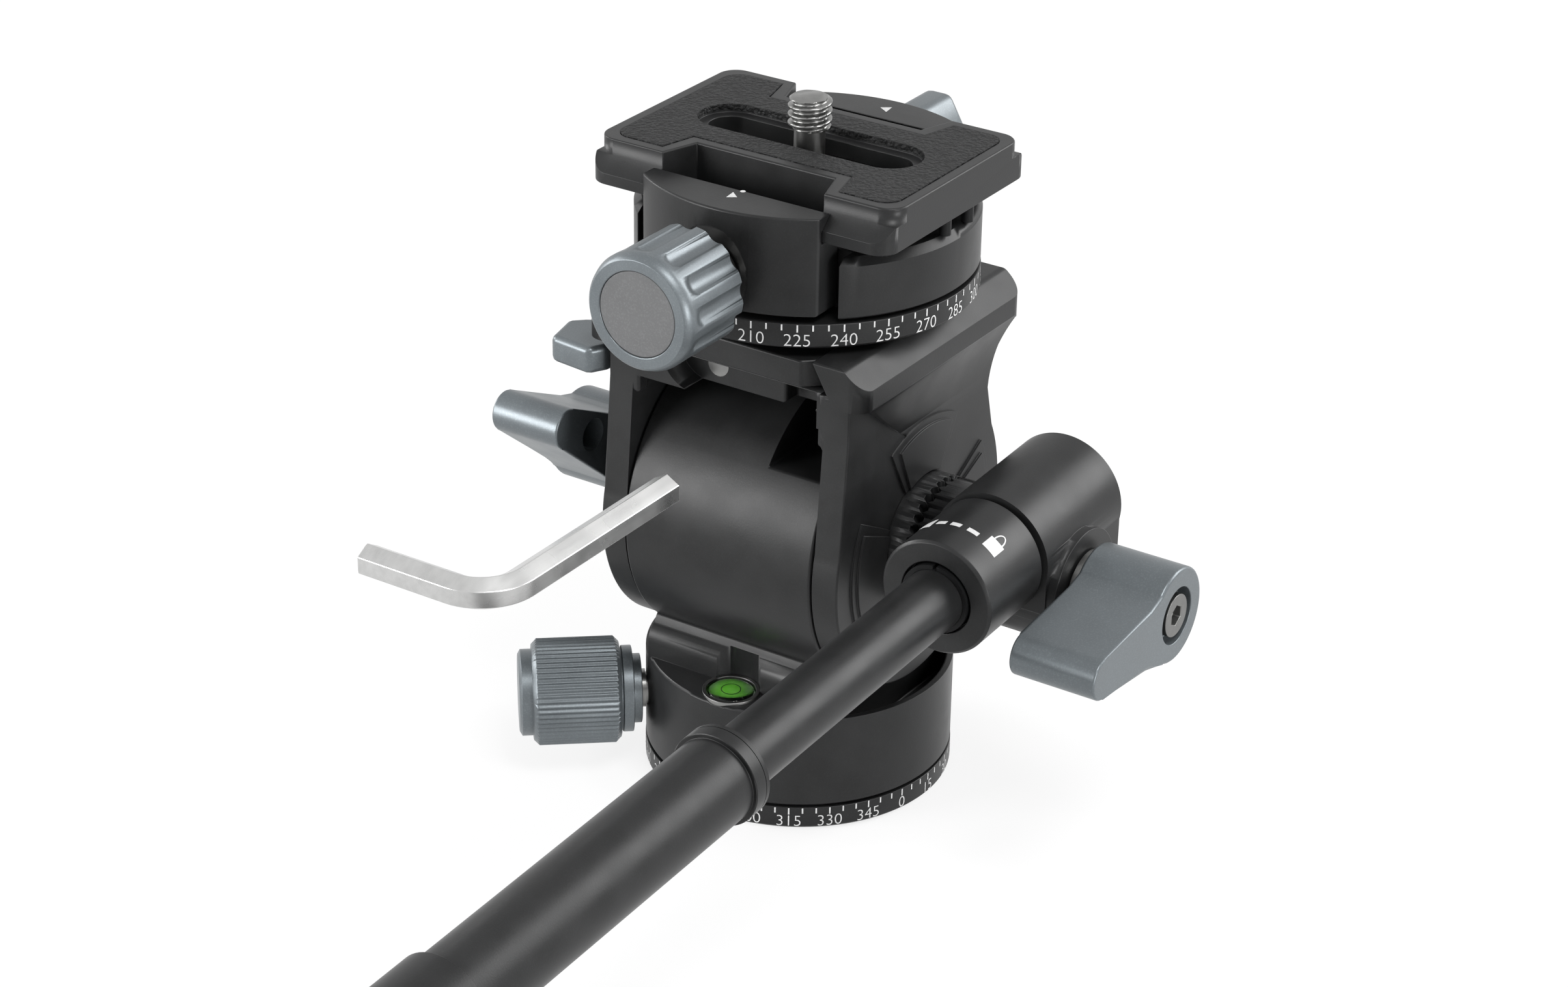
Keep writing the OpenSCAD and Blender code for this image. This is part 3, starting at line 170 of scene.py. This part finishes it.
def grained(name, colour, rough, metal, specular, grain=0.25, contrast=0.16):
    """Anodised or painted metal: a fine grain in the surface, and slow changes of tone and gloss."""
    g = Graph(name)
    slow = g.noise(180, 4)
    fine = g.noise(4200)
    tone = g.mix(g.spread(slow, 0, 1), tinted(colour, 1 - contrast), tinted(colour, 1 + contrast))
    g.wire(g.mix(g.spread(fine, 0, 0.35, 0.5, 0.75), tone, tinted(colour, 1.7)), "Base Color")
    g.wire(g.spread(slow, rough - 0.04, rough + 0.04), "Roughness")
    g.wire(g.bump(fine, grain, 0.00003), "Normal")
    g.shader.inputs["Metallic"].default_value = metal
    g.shader.inputs["Specular IOR Level"].default_value = specular
    return g.material


def brushed(name, colour, rough, depth=0.12, stretch=(1, 1, 1)):
    """Turned or drawn metal; a stretch below 1 draws its marks out into lines along that axis."""
    g = Graph(name)
    drawn = g.add("ShaderNodeMapping", {"Vector": g.place, "Scale": stretch}).outputs[0]
    lines = g.noise(900, 3, drawn)
    g.wire(g.mix(g.spread(lines, 0, 1), tinted(colour, 0.88), colour), "Base Color")
    g.wire(g.spread(g.noise(150, 3), rough - 0.05, rough + 0.06), "Roughness")
    g.wire(g.bump(lines, depth, 0.00002), "Normal")
    g.shader.inputs["Metallic"].default_value = 1
    return g.material


def pebbled(name, colour):
    """Rubber with a leather-like pebble."""
    g = Graph(name)
    warp = g.add("ShaderNodeTexNoise", {"Vector": g.place, "Scale": 700, "Detail": 2})
    moved = g.add("ShaderNodeMix", {"Factor": 0.0012, 4: g.place, 5: warp.outputs["Color"]},
                  data_type="VECTOR").outputs[1]
    cells = g.add("ShaderNodeTexVoronoi", {"Vector": moved, "Scale": 1400}, feature="F1").outputs["Distance"]
    small = g.noise(3600)
    height = g.math("ADD", g.spread(cells, 1, 0, 0.1, 0.75), g.spread(small, 0, 0.35))
    # The pebble's tops are coloured lighter and its hollows darker: painted shade that follows the bump.
    g.wire(g.mix(g.spread(cells, 0, 1, 0.2, 0.7), tinted(colour, 1.25), tinted(colour, 0.6)), "Base Color")
    g.wire(g.spread(small, 0.5, 0.66), "Roughness")
    g.wire(g.bump(height, 0.85, 0.00026), "Normal")
    g.shader.inputs["Specular IOR Level"].default_value = 0.2
    return g.material


def printed(name):
    """White ink, a little uneven."""
    g = Graph(name)
    ink = g.noise(2600, 3)
    g.wire(g.mix(g.spread(ink, 0, 1), (0.5, 0.5, 0.5), (0.58, 0.58, 0.58)), "Base Color")
    g.wire(g.spread(ink, 0.5, 0.65), "Roughness")
    return g.material


BLACK = grained("black_anodised", (0.0118, 0.012, 0.0123), rough=0.38, metal=0, specular=0.24)
# Near-black, darker than the black anodising. On the plate's stop pins and on the collet inside the collar it
# is painted shade of the gaps round them; the bubble level's circle is this dark itself.
DARK = grained("dark_and_painted_shade", (0.006, 0.0062, 0.0065), rough=0.45, metal=0, specular=0.14)
GREY = grained("grey_anodised", (0.118, 0.133, 0.142), rough=0.37, metal=0.6, specular=0.5,
               grain=0.08, contrast=0.06)
DISC = grained("disc_anodised", (0.1, 0.101, 0.103), rough=0.5, metal=0.1, specular=0.3,
               grain=0.3, contrast=0.05)
STEEL = brushed("steel", (0.23, 0.23, 0.225), rough=0.3, depth=0.02)
SCREW = brushed("dull_steel", (0.19, 0.19, 0.185), rough=0.34, depth=0.05)
KEY = brushed("drawn_steel", (0.55, 0.55, 0.545), rough=0.27, depth=0.02, stretch=(1, 0.04, 1))
BRONZE = brushed("bronze", (0.5, 0.34, 0.14), rough=0.35)
PAD = pebbled("pad_rubber", (0.0125, 0.0127, 0.013))
PRINT = printed("white_print")
FINISH = {"black_metal": BLACK, "dark_metal": DARK, "grey_metal": GREY, "disc_metal": DISC,
          "steel": STEEL, "bronze": BRONZE, "black_rubber": PAD}
# the stop pins take the near-black as painted shade of the gap that they sit in
OWN_FINISH = {"ratchet_bolt": SCREW, "tilt_lever_screw": SCREW, "plate_stop_pins": DARK}


def finish(node):
    return OWN_FINISH.get(node) or FINISH.get(SLOT[node], BLACK)


def dress(obj, material):
    """Gives a CAD node a material, in its own slots."""
    if not obj.data.materials:
        obj.data.materials.append(material)
    for slot in obj.material_slots:
        slot.material = material


# meshes and pieces

def baked(bm, name):
    """The mesh of a bmesh, which is freed."""
    mesh = bpy.data.meshes.new(name)
    bm.to_mesh(mesh)
    bm.free()
    return mesh


def smooth(mesh, sharp):
    """Smooth shading that keeps the edges with more than sharp degrees between their faces."""
    mesh.polygons.foreach_set("use_smooth", [True] * len(mesh.polygons))
    mesh.set_sharp_from_angle(angle=math.radians(sharp))
    return mesh


def even(obj):
    """Keeps the flats flat beside rounded edges."""
    obj.modifiers.new("normals", "WEIGHTED_NORMAL").keep_sharp = True


def skin(bm, rows):
    """Closed tube through rings of vertices."""
    for low, high in zip(rows, rows[1:]):
        for i in range(len(low)):
            j = (i + 1) % len(low)
            bm.faces.new((low[i], low[j], high[j], high[i]))
    bm.faces.new(rows[0][::-1])
    bm.faces.new(rows[-1])


def lathe(profile, steps=64):
    """Closed mesh turned about Z from (radius, height) points in millimetres; a radius of 0 is one point."""
    bm = bmesh.new()
    rows = []
    for r, z in profile:
        reach, height = r * MM, z * MM
        turns = [2 * math.pi * i / steps for i in range(steps if r else 1)]
        rows.append([bm.verts.new((reach * math.cos(a), reach * math.sin(a), height)) for a in turns])
    for low, high in zip(rows, rows[1:]):
        for i in range(steps):
            j = (i + 1) % steps
            corners = [low[i % len(low)], low[j % len(low)], high[j % len(high)], high[i % len(high)]]
            unique = [v for k, v in enumerate(corners) if v not in corners[:k]]
            if len(unique) > 2:
                bm.faces.new(unique)
    bmesh.ops.remove_doubles(bm, verts=bm.verts, dist=1e-8)
    bmesh.ops.recalc_face_normals(bm, faces=bm.faces)
    return smooth(baked(bm, "lathe"), 35)


def piece(name, mesh, material, body, slot, *stands_for):
    """Places a mesh as a piece that rides a body, and hides the CAD nodes that it stands for; slot is not
    used.
    """
    obj = link(bpy.data.objects.new(name, mesh))
    obj.data.materials.clear()
    obj.data.materials.append(material)
    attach(obj, body)
    if stands_for:
        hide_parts(*stands_for)
    return obj


# rounding of edges

ROUND_ANGLE = 28           # edges with more degrees between their faces are rounded
SHADE_ANGLE = 40           # edges of the rounded mesh above this stay sharp in the shading
SEGMENTS = 3
RUN_ON = 0.8               # cosine of the bend up to which two edges are one chain
ALONE, FACED = 0.9, 0.45   # share of a face that a rounding may take, alone or with another facing it
UNLIMITED = 1.0            # metres, more than any face has
NARROWEST = 0.00003        # metres; anything narrower is left sharp


def across(loop):
    """How far a face reaches from one of its edges, and which edge it reaches first."""
    edge, face = loop.edge, loop.face
    along = (loop.link_loop_next.vert.co - loop.vert.co).normalized()
    inward = face.normal.cross(along)
    flat = [((l.vert.co - loop.vert.co).dot(along), (l.vert.co - loop.vert.co).dot(inward), l.edge)
            for l in face.loops]
    length = edge.calc_length()
    best = (UNLIMITED, None)
    for share in (0.1, 0.5, 0.9):
        s = share * length
        for (s0, t0, other), (s1, t1, _) in zip(flat, flat[1:] + flat[:1]):
            if other is edge or (s0 - s) * (s1 - s) > 0 or s0 == s1:
                continue
            t = t0 + (s - s0) * (t1 - t0) / (s1 - s0)
            if 1e-7 < t < best[0]:
                best = (t, other)
    return best


def room(edge, wanted):
    """The widest rounding that the faces beside an edge leave room for; wanted holds the edges to round."""
    limit = UNLIMITED
    length = edge.calc_length()
    for loop in edge.link_loops:
        shrink = 0
        ahead = loop.link_loop_next
        for corner, other in ((loop, loop.link_loop_prev.edge), (ahead, ahead.edge)):
            a = min(max(corner.calc_angle(), 0.02), 3.12)
            if other in wanted:
                shrink += 1 / math.tan(a / 2) if corner.is_convex else 0
            elif corner.is_convex:
                shrink += max(0, 1 / math.tan(a))
                limit = min(limit, ALONE * math.sin(a) * other.calc_length())
        if shrink > 1e-6:
            limit = min(limit, ALONE * length / shrink)
        reach, far = across(loop)
        limit = min(limit, reach * (FACED if far in wanted else ALONE))
    return limit


def chains(wanted):
    """Groups of edges that run on into each other without a corner."""
    group = {e: {e} for e in wanted}
    for e in wanted:
        for v in e.verts:
            for o in v.link_edges:
                if o is e or o not in wanted or group[o] is group[e]:
                    continue
                ahead = (e.other_vert(v).co - v.co).normalized()
                behind = (v.co - o.other_vert(v).co).normalized()
                if ahead.dot(behind) > RUN_ON:
                    small, large = sorted((group[e], group[o]), key=len)
                    large |= small
                    for member in small:
                        group[member] = large
    return list({id(g): g for g in group.values()}.values())


def widths(bm, width, weight):
    """Rounding of each edge in metres: one width along each chain, as wide as its faces leave room for."""
    wanted = {}
    for e in bm.edges:
        if len(e.link_faces) == 2 and e.calc_face_angle(0) > math.radians(ROUND_ANGLE):
            middle = (e.verts[0].co + e.verts[1].co) / 2 / MM
            wanted[e] = width * MM * (weight(middle) if weight else 1)
    limits = {}
    for chain in chains(wanted):
        tightest = min(min(wanted[e], room(e, wanted)) for e in chain)
        limits.update((e, tightest) for e in chain)
    return limits


def bevelled(node, mesh, width):
    """Bevels a mesh by its edges' weights, and takes out the zero-length edges that fold large faces."""
    raw = link(bpy.data.objects.new(node + "_raw", mesh))
    bevel = raw.modifiers.new("bevel", "BEVEL")
    bevel.limit_method = "WEIGHT"
    bevel.width = width * MM
    bevel.segments = SEGMENTS
    bevel.use_clamp_overlap = False
    graph = bpy.context.evaluated_depsgraph_get()
    done = bpy.data.meshes.new_from_object(raw.evaluated_get(graph))
    bpy.data.objects.remove(raw)
    bm = bmesh.new()
    bm.from_mesh(done)
    bmesh.ops.dissolve_degenerate(bm, dist=0.000002, edges=bm.edges)
    bm.to_mesh(done)
    bm.free()
    return done


def rounded(node, width, weight=None):
    """Stands for a CAD node with its edges rounded to width mm, times weight(middle of the edge in mm)."""
    bm = bmesh.new()
    bm.from_mesh(frame["nodes"][node].data)
    bmesh.ops.remove_doubles(bm, verts=bm.verts, dist=1e-7)
    bmesh.ops.dissolve_limit(bm, angle_limit=math.radians(0.6), verts=bm.verts, edges=bm.edges)
    bm.normal_update()
    layer = bm.edges.layers.float.new("bevel_weight_edge")
    for e, w in widths(bm, width, weight).items():
        e[layer] = w / (width * MM) if w > NARROWEST else 0
    mesh = smooth(bevelled(node, baked(bm, node + "_raw"), width), SHADE_ANGLE)
    even(piece(node + "_shape", mesh, finish(node), BODY[node], SLOT[node], node))


def yoke_weight(p):
    """Narrow on the thin relief round the tilt axis and round the platform lever's pocket."""
    if 20.4 < abs(p.x) < 21.3 and math.hypot(p.y, p.z - TILT_Z) < 19.4:
        return 0.14
    if abs(p.y + 12) < 6 and p.x < -17 and p.z > 60:
        return 0.3
    return 1 if p.z > 60 or abs(p.x) > 20 else 0.7


def socket_weight(p):
    """Keeps the rosette's teeth crisp."""
    return 0.12 if p.x < 26.2 else 1


def lever_weight(p):
    """Keeps the bore round the pivot crisp."""
    return 0.12 if math.hypot(p.y, p.z - TILT_Z) < 4.6 else 1


def plate_weight(p):
    """Widest along the plate's outer edges at the top."""
    return 1 if p.z > 100.8 and (abs(p.x) > 20 or abs(p.y) > 9) else 0.45


ROUND = {
    "pan_scale_ring": 0.15, "pan_housing": 0.35, "pan_lock_knob": 0.14, "yoke": 0.6, "fixed_rosette": 0.08,
    "tilt_lock_boss": 0.4, "tilt_lock_lever": 1.1, "tilt_lever_screw": 0.15, "platform_lever": 0.9,
    "platform_block": 0.4, "top_scale_ring": 0.15, "clamp_body": 0.35, "front_jaw": 0.35, "top_lock_lever": 1,
    "clamp_knob": 0.16, "clamp_knob_disc": 0.15, "qr_plate": 0.3, "plate_pad": 0.1, "handle_socket": 0.5,
    "ratchet_washer": 0.15, "ratchet_lever": 1.1, "ratchet_bolt": 0.15, "lock_collar": 0.2, "mid_tube": 0.1,
    "thin_tube": 0.2, "grip_tube": 0.3, "grip_end_cap": 0.3, "vial_ring": 0.12,
}
WEIGHT = {"yoke": yoke_weight, "handle_socket": socket_weight, "qr_plate": plate_weight,
          "tilt_lock_lever": lever_weight, "ratchet_lever": lever_weight}


# hex key: a hexagon with eased corners, carried along its bent path

KEY_SIZES = {"across": 4, "x": 12, "z": 70, "tip_y": -52.2, "elbow_y": -90.5, "end_x": -8.2, "bend": 6}
KEY_EASE = 0.22                     # radius of the hexagon's corners
KEY_CHAMFER, KEY_TIP = 0.3, 0.86    # length of the chamfer at both ends, and the section's share there
KEY_STEPS = 14                      # stations round the bend


def hex_section(flats, ease, scale):
    """Points (sideways, up) of a hexagon so wide across its flats, with each corner as a short arc."""
    corner = flats / 2 / math.cos(math.radians(30))
    reach = corner - ease / math.cos(math.radians(30))
    points = []
    for k in range(6):
        a = math.radians(90 + 60 * k)
        for turn in (-24, -8, 8, 24):
            b = a + math.radians(turn)
            points.append((scale * (reach * math.cos(a) + ease * math.cos(b)),
                           scale * (reach * math.sin(a) + ease * math.sin(b))))
    return points


def key_path(k):
    """Stations (x, y, way sideways, section's scale), from the long arm's tip to the short arm's end."""
    stations = [(k["x"], k["tip_y"], (1, 0), KEY_TIP), (k["x"], k["tip_y"] - KEY_CHAMFER, (1, 0), 1)]
    cx, cy = k["x"] - k["bend"], k["elbow_y"] + k["bend"]
    for i in range(KEY_STEPS + 1):
        a = math.radians(90) * i / KEY_STEPS
        side = (math.cos(a), -math.sin(a))
        stations.append((cx + k["bend"] * math.cos(a), cy - k["bend"] * math.sin(a), side, 1))
    stations.append((k["end_x"] + KEY_CHAMFER, k["elbow_y"], (0, -1), 1))
    stations.append((k["end_x"], k["elbow_y"], (0, -1), KEY_TIP))
    return stations


def hex_key():
    k = KEY_SIZES
    bm = bmesh.new()
    skin(bm, [[bm.verts.new(((x + u * side[0]) * MM, (y + u * side[1]) * MM, (k["z"] + w) * MM))
               for u, w in hex_section(k["across"], KEY_EASE, scale)]
              for x, y, side, scale in key_path(k)])
    bmesh.ops.recalc_face_normals(bm, faces=bm.faces)
    even(piece("hex_key_shape", smooth(baked(bm, "hex_key"), 25), KEY, "hex_key", "steel", "hex_key"))


# camera screw with its thread

THREAD = {"radius": 3.175, "root": 2.5, "pitch": 1.27, "low": 102.3, "high": 106.9}
THREAD_STEPS = 72                            # points round a turn
THREAD_ROWS = 14                             # rings to a turn
CREST, FLANK = 1.35, 3.6                     # profile of the ridge, cut off at 0 and 1
TOP_EASE, LOW_EASE, SLOPE = 0.55, 0.45, 1.2  # chamfers at the thread's ends
# flat head and neck under the thread
SCREW_FOOT = [(0, 94.9), (6.7, 94.9), (7, 95.2), (7, 96.2), (6.7, 96.5), (2.25, 96.5), (2.25, 102.4),
              (0, 102.4)]


def threaded(radius, root, pitch, low, high):
    """A helical thread as one closed skin about Z, in millimetres, chamfered at both ends."""
    bm = bmesh.new()
    rows = []
    count = int((high - low) / pitch * THREAD_ROWS)
    for k in range(count + 1):
        z = low + (high - low) * k / count
        row = []
        for i in range(THREAD_STEPS):
            turn = (z / pitch - i / THREAD_STEPS) % 1
            crest = min(1, max(0, CREST - abs(turn - 0.5) * FLANK))
            crest = crest * crest * (3 - 2 * crest)
            r = root + (radius - root) * crest
            r = min(r, radius - TOP_EASE + (high - z) * SLOPE, radius - LOW_EASE + (z - low) * SLOPE)
            a = 2 * math.pi * i / THREAD_STEPS
            row.append(bm.verts.new((r * math.cos(a) * MM, r * math.sin(a) * MM, z * MM)))
        rows.append(row)
    skin(bm, rows)
    return bm


def camera_screw():
    bm = threaded(**THREAD)
    bm.from_mesh(lathe(SCREW_FOOT))
    mesh = smooth(baked(bm, "camera_screw"), 50)
    piece("camera_screw_shape", mesh, STEEL, "camera_screw", "steel", "camera_screw")


# printed scales

PRINT_LIFT = 0.03             # of the print above a round face, in mm
JAW_PRINT_LIFT = 0.02
TICK_STEP, NUMBER_STEP = 5, 15
TICK_HALF = 0.11
FIGURE_SIZE = 2.65
FIGURE_THIN = -0.035          # thins the strokes of the figures
FIGURE_CURVES = 6


def wrapped(name, shapes, place, body):
    """One printed mesh of flat shapes (points, faces), which place(x, y) puts in space."""
    mesh = bpy.data.meshes.new(name)
    verts, faces = [], []
    for points, polygons in shapes:
        base = len(verts)
        verts += [place(x, y) for x, y in points]
        faces += [tuple(base + i for i in p) for p in polygons]
    mesh.from_pydata(verts, [], faces)
    mesh.validate()
    piece(name, mesh, PRINT, body, "black_metal")


def bar(x0, x1, y0, y1):
    return [(x0, y0), (x1, y0), (x1, y1), (x0, y1)], [(0, 1, 2, 3)]


def ladder(pairs):
    """A band between two lines, given as pairs of points across it."""
    points = [point for pair in pairs for point in pair]
    return points, [(2 * i, 2 * i + 1, 2 * i + 3, 2 * i + 2) for i in range(len(pairs) - 1)]


def figure(text, x, y):
    """The outline of a number as flat polygons, centred on x with its feet at y."""
    curve = bpy.data.curves.new("figure", "FONT")
    curve.body = text
    curve.size = FIGURE_SIZE
    curve.align_x = "CENTER"
    curve.offset = FIGURE_THIN
    curve.resolution_u = FIGURE_CURVES
    obj = link(bpy.data.objects.new("figure", curve))
    graph = bpy.context.evaluated_depsgraph_get()
    mesh = bpy.data.meshes.new_from_object(obj.evaluated_get(graph))
    points = [(v.co.x + x, v.co.y + y) for v in mesh.vertices]
    faces = [tuple(p.vertices) for p in mesh.polygons]
    bpy.data.objects.remove(obj)
    bpy.data.curves.remove(curve)
    bpy.data.meshes.remove(mesh)
    return points, faces


def degree_scale(name, body, radius, start, top, low, long_low, feet):
    """Ticks and numbers round a ring; start is the way of the mark 0, and the rest are heights in mm."""
    arc = math.radians(1) * radius
    shapes = []
    for mark in range(0, 360, TICK_STEP):
        x = mark * arc
        numbered = mark % NUMBER_STEP == 0
        shapes.append(bar(x - TICK_HALF, x + TICK_HALF, long_low if numbered else low, top))
        if numbered:
            shapes.append(figure(str(mark), x, feet))

    def place(x, y):
        a = math.radians(start) + x / radius
        return ((radius + PRINT_LIFT) * MM * math.cos(a), (radius + PRINT_LIFT) * MM * math.sin(a), y * MM)

    wrapped(name, shapes, place, body)


# marks of the jaws and of the collar

FRONT_TRIANGLE = [(-0.18, -20.82), (1.06, -19.94), (-0.44, -18.67)]
FRONT_DOT, DOT_RADIUS, DOT_POINTS = (0.52, -17.69), 0.4, 16
REAR_TRIANGLE = [(-1.25, 21.15), (0.44, 20.05), (0.15, 22.15)]

# on the collar: degrees round it and millimetres along the handle
WEDGE = {"start": 143, "end": 117, "along": 18.2, "width": 1.3}
DASHES = [(113, 102.5), (97.5, 87), (80, 68.5)]
DASH_ALONG = (17.85, 18.75)
LOCK_BODY = (60, 43.5, 16.6, 19.3)
LOCK_ARCH = {"middle": 51.5, "along": 16.6, "outer": (5.6, 1.75), "thick": (1.4, 0.24)}


def jaw_marks():
    def on_jaw(x, y):
        return (x * MM, y * MM, (JAW_TOP + JAW_PRINT_LIFT) * MM)

    dot = []
    for i in range(DOT_POINTS):
        t = 2 * math.pi * i / DOT_POINTS
        dot.append((FRONT_DOT[0] + DOT_RADIUS * math.cos(t), FRONT_DOT[1] + DOT_RADIUS * math.sin(t)))
    front = [(FRONT_TRIANGLE, [(0, 1, 2)]), (dot, [tuple(range(DOT_POINTS))])]
    wrapped("front_jaw_marks", front, on_jaw, "jaw")
    wrapped("rear_jaw_marks", [(REAR_TRIANGLE, [(0, 1, 2)])], on_jaw, "top_pan")


def strip(a0, a1, s0, s1, steps=4):
    stations = [a0 + (a1 - a0) * i / steps for i in range(steps + 1)]
    return ladder([((a, s0), (a, s1)) for a in stations])


def wedge(start, end, along, width, steps=10):
    """A band that grows from a point."""
    pairs = []
    for i in range(steps + 1):
        a, half = start + (end - start) * i / steps, width * i / steps
        pairs.append(((a, along - half), (a, along + half)))
    return ladder(pairs)


def arch(middle, along, outer, thick, steps=12):
    """The shackle of the padlock mark: a half ring of radii (degrees, mm)."""
    pairs = []
    for i in range(steps + 1):
        t = math.pi * i / steps
        pairs.append(tuple((middle + r_a * math.cos(t), along - r_s * math.sin(t))
                           for r_a, r_s in (outer, (outer[0] - thick[0], outer[1] - thick[1]))))
    return ladder(pairs)


def collar_marks():
    radius = COLLAR_RADIUS + PRINT_LIFT

    def on_collar(deg, s):
        a = math.radians(deg)
        x, u = HANDLE_X + radius * math.cos(a), radius * math.sin(a)
        y = -s * math.cos(HANDLE_DROOP) - u * math.sin(HANDLE_DROOP)
        z = HANDLE_Z - s * math.sin(HANDLE_DROOP) + u * math.cos(HANDLE_DROOP)
        return (x * MM, y * MM, z * MM)

    shapes = [wedge(**WEDGE), *(strip(*ends, *DASH_ALONG) for ends in DASHES), strip(*LOCK_BODY, 6),
              arch(**LOCK_ARCH)]
    wrapped("collar_marks", shapes, on_collar, "collar")


# bubble level: the green body, its clear dome and the dark circle under it

LEVEL_TOP = 19.12
DOME_RADIUS, DOME_RISE = 3.5, 0.8
LEVEL_BODY = [(0, 16.6), (3.62, 16.6), (3.62, 18.9), (3.3, 19.05), (0, 19.1)]
LEVEL_DOME = [(0, LEVEL_TOP), (DOME_RADIUS, 19.06),
              *((DOME_RADIUS * math.cos(math.radians(a)), 19.06 + DOME_RISE * math.sin(math.radians(a)))
                for a in range(10, 90, 10)), (0, 19.86)]
LEVEL_CIRCLE = [(1.35, LEVEL_TOP), (1.47, LEVEL_TOP), (1.47, 19.15), (1.35, 19.15), (1.35, LEVEL_TOP)]


def liquid_material():
    """Bright green in the middle and dark green at the rim, a little cloudy, under a clear coat."""
    g = Graph("level_liquid")
    x, y = (v * MM for v in LEVEL)
    centre = g.add("ShaderNodeMapping", {"Vector": g.place, "Location": (-x, -y, 0)}).outputs[0]
    flat = g.add("ShaderNodeSeparateXYZ", {0: centre}).outputs
    reach = g.math("ADD", *(g.math("MULTIPLY", flat[i], flat[i]) for i in (0, 1)))
    # The dark green towards the rim is painted shade round the vial's edge; the green itself is even.
    rim = g.spread(g.math("SQRT", reach), 0, 1, 0.0012, 0.0036)
    shade = g.mix(rim, (0.13, 0.5, 0.03), (0.01, 0.06, 0.008))
    g.wire(g.mix(g.spread(g.noise(900), 0, 0.25), shade, (0.3, 0.7, 0.15)), "Base Color")
    g.wire(g.spread(g.noise(600), 0.12, 0.2), "Roughness")
    g.shader.inputs["Coat Weight"].default_value = 0.6
    return g.material


def glass_material():
    g = Graph("level_glass")
    g.wire(g.spread(g.noise(700), 0.02, 0.06), "Roughness")
    g.wire(g.mix(g.spread(g.noise(300), 0, 1), (0.96, 1, 0.96), (1, 1, 1)), "Base Color")
    g.shader.inputs["Transmission Weight"].default_value = 1
    g.shader.inputs["IOR"].default_value = 1.4
    return g.material


def bubble_level():
    def turned(name, profile, material, *stands_for, steps=64):
        mesh = lathe(profile, steps)
        mesh.transform(Matrix.Translation((LEVEL[0] * MM, LEVEL[1] * MM, 0)))
        piece(name, mesh, material, "pan", "green_level", *stands_for)

    turned("level_body", LEVEL_BODY, liquid_material(), "bubble_vial")
    turned("level_dome", LEVEL_DOME, glass_material())
    turned("level_circle", LEVEL_CIRCLE, DARK, steps=48)


# stage and lights

def direct_rays(tree):
    """1 for camera, glossy and transmission rays, which see the studio as plain white, and 0 for others."""
    path = add_node(tree, "ShaderNodeLightPath").outputs
    mirror = add_node(tree, "ShaderNodeMath", {0: path["Is Glossy Ray"], 1: path["Is Transmission Ray"]},
                      operation="MAXIMUM").outputs[0]
    return add_node(tree, "ShaderNodeMath", {0: path["Is Camera Ray"], 1: mirror},
                    operation="MAXIMUM").outputs[0]


def backdrop():
    bm = bmesh.new()
    bmesh.ops.create_circle(bm, cap_ends=True, segments=96, radius=FLOOR_RADIUS)
    floor = link(bpy.data.objects.new("floor", baked(bm, "floor")))
    floor.location = (0, 0, -FLOOR_DROP)
    g = Graph("floor")
    floor.data.materials.append(g.material)
    g.wire(g.mix(g.spread(g.noise(3), 0, 1), (0.86, 0.86, 0.86), (0.9, 0.9, 0.9)), "Base Color")
    g.shader.inputs["Roughness"].default_value = 0.9
    g.shader.inputs["Specular IOR Level"].default_value = 0
    glow = g.add("ShaderNodeEmission", {"Color": (1, 1, 1, 1), "Strength": 1.0})
    seen = g.math("MULTIPLY", direct_rays(g.tree), FLOOR_GLOW)
    mixed = g.add("ShaderNodeMixShader", {0: seen, 1: g.shader.outputs[0], 2: glow.outputs[0]})
    g.tree.links.new(mixed.outputs[0], g.out.inputs["Surface"])


def sky():
    world = bpy.data.worlds.new("studio")
    bpy.context.scene.world = world
    world.use_nodes = True
    tree = world.node_tree
    tree.nodes.clear()
    strength = add_node(tree, "ShaderNodeMapRange",
                        {"Value": direct_rays(tree), "To Min": FILL_LIGHT, "To Max": 1}).outputs[0]
    shade = add_node(tree, "ShaderNodeBackground", {"Color": (1, 1, 1, 1), "Strength": strength}).outputs[0]
    add_node(tree, "ShaderNodeOutputWorld", {"Surface": shade})


def softbox(name, azimuth, elevation, width, height, power):
    back = towards(azimuth, elevation)
    data = bpy.data.lights.new(name, "AREA")
    data.shape = "RECTANGLE"
    data.size, data.size_y = width, height
    data.energy = power
    lamp = link(bpy.data.objects.new(name, data))
    lamp.location = Vector(LAMP_AIM) + back * LAMP_DISTANCE
    lamp.rotation_mode = "QUATERNION"
    lamp.rotation_quaternion = (-back).to_track_quat("-Z", "Y")


make_camera()
for name, obj in frame["nodes"].items():
    dress(obj, finish(name))
for name, width in ROUND.items():
    rounded(name, width, WEIGHT.get(name))
hex_key()
camera_screw()
degree_scale("lower_scale", "base", radius=23.48, start=-15.3, top=3.5, low=2.6, long_low=2.4, feet=0.45)
degree_scale("upper_scale", "platform", radius=25.02, start=-60.2 - 225, top=82.7, low=81.8, long_low=81.6,
             feet=79.5)
jaw_marks()
collar_marks()
bubble_level()
backdrop()
sky()
for lamp in LAMPS:
    softbox(*lamp)
bpy.context.scene.view_settings.view_transform = "Standard"
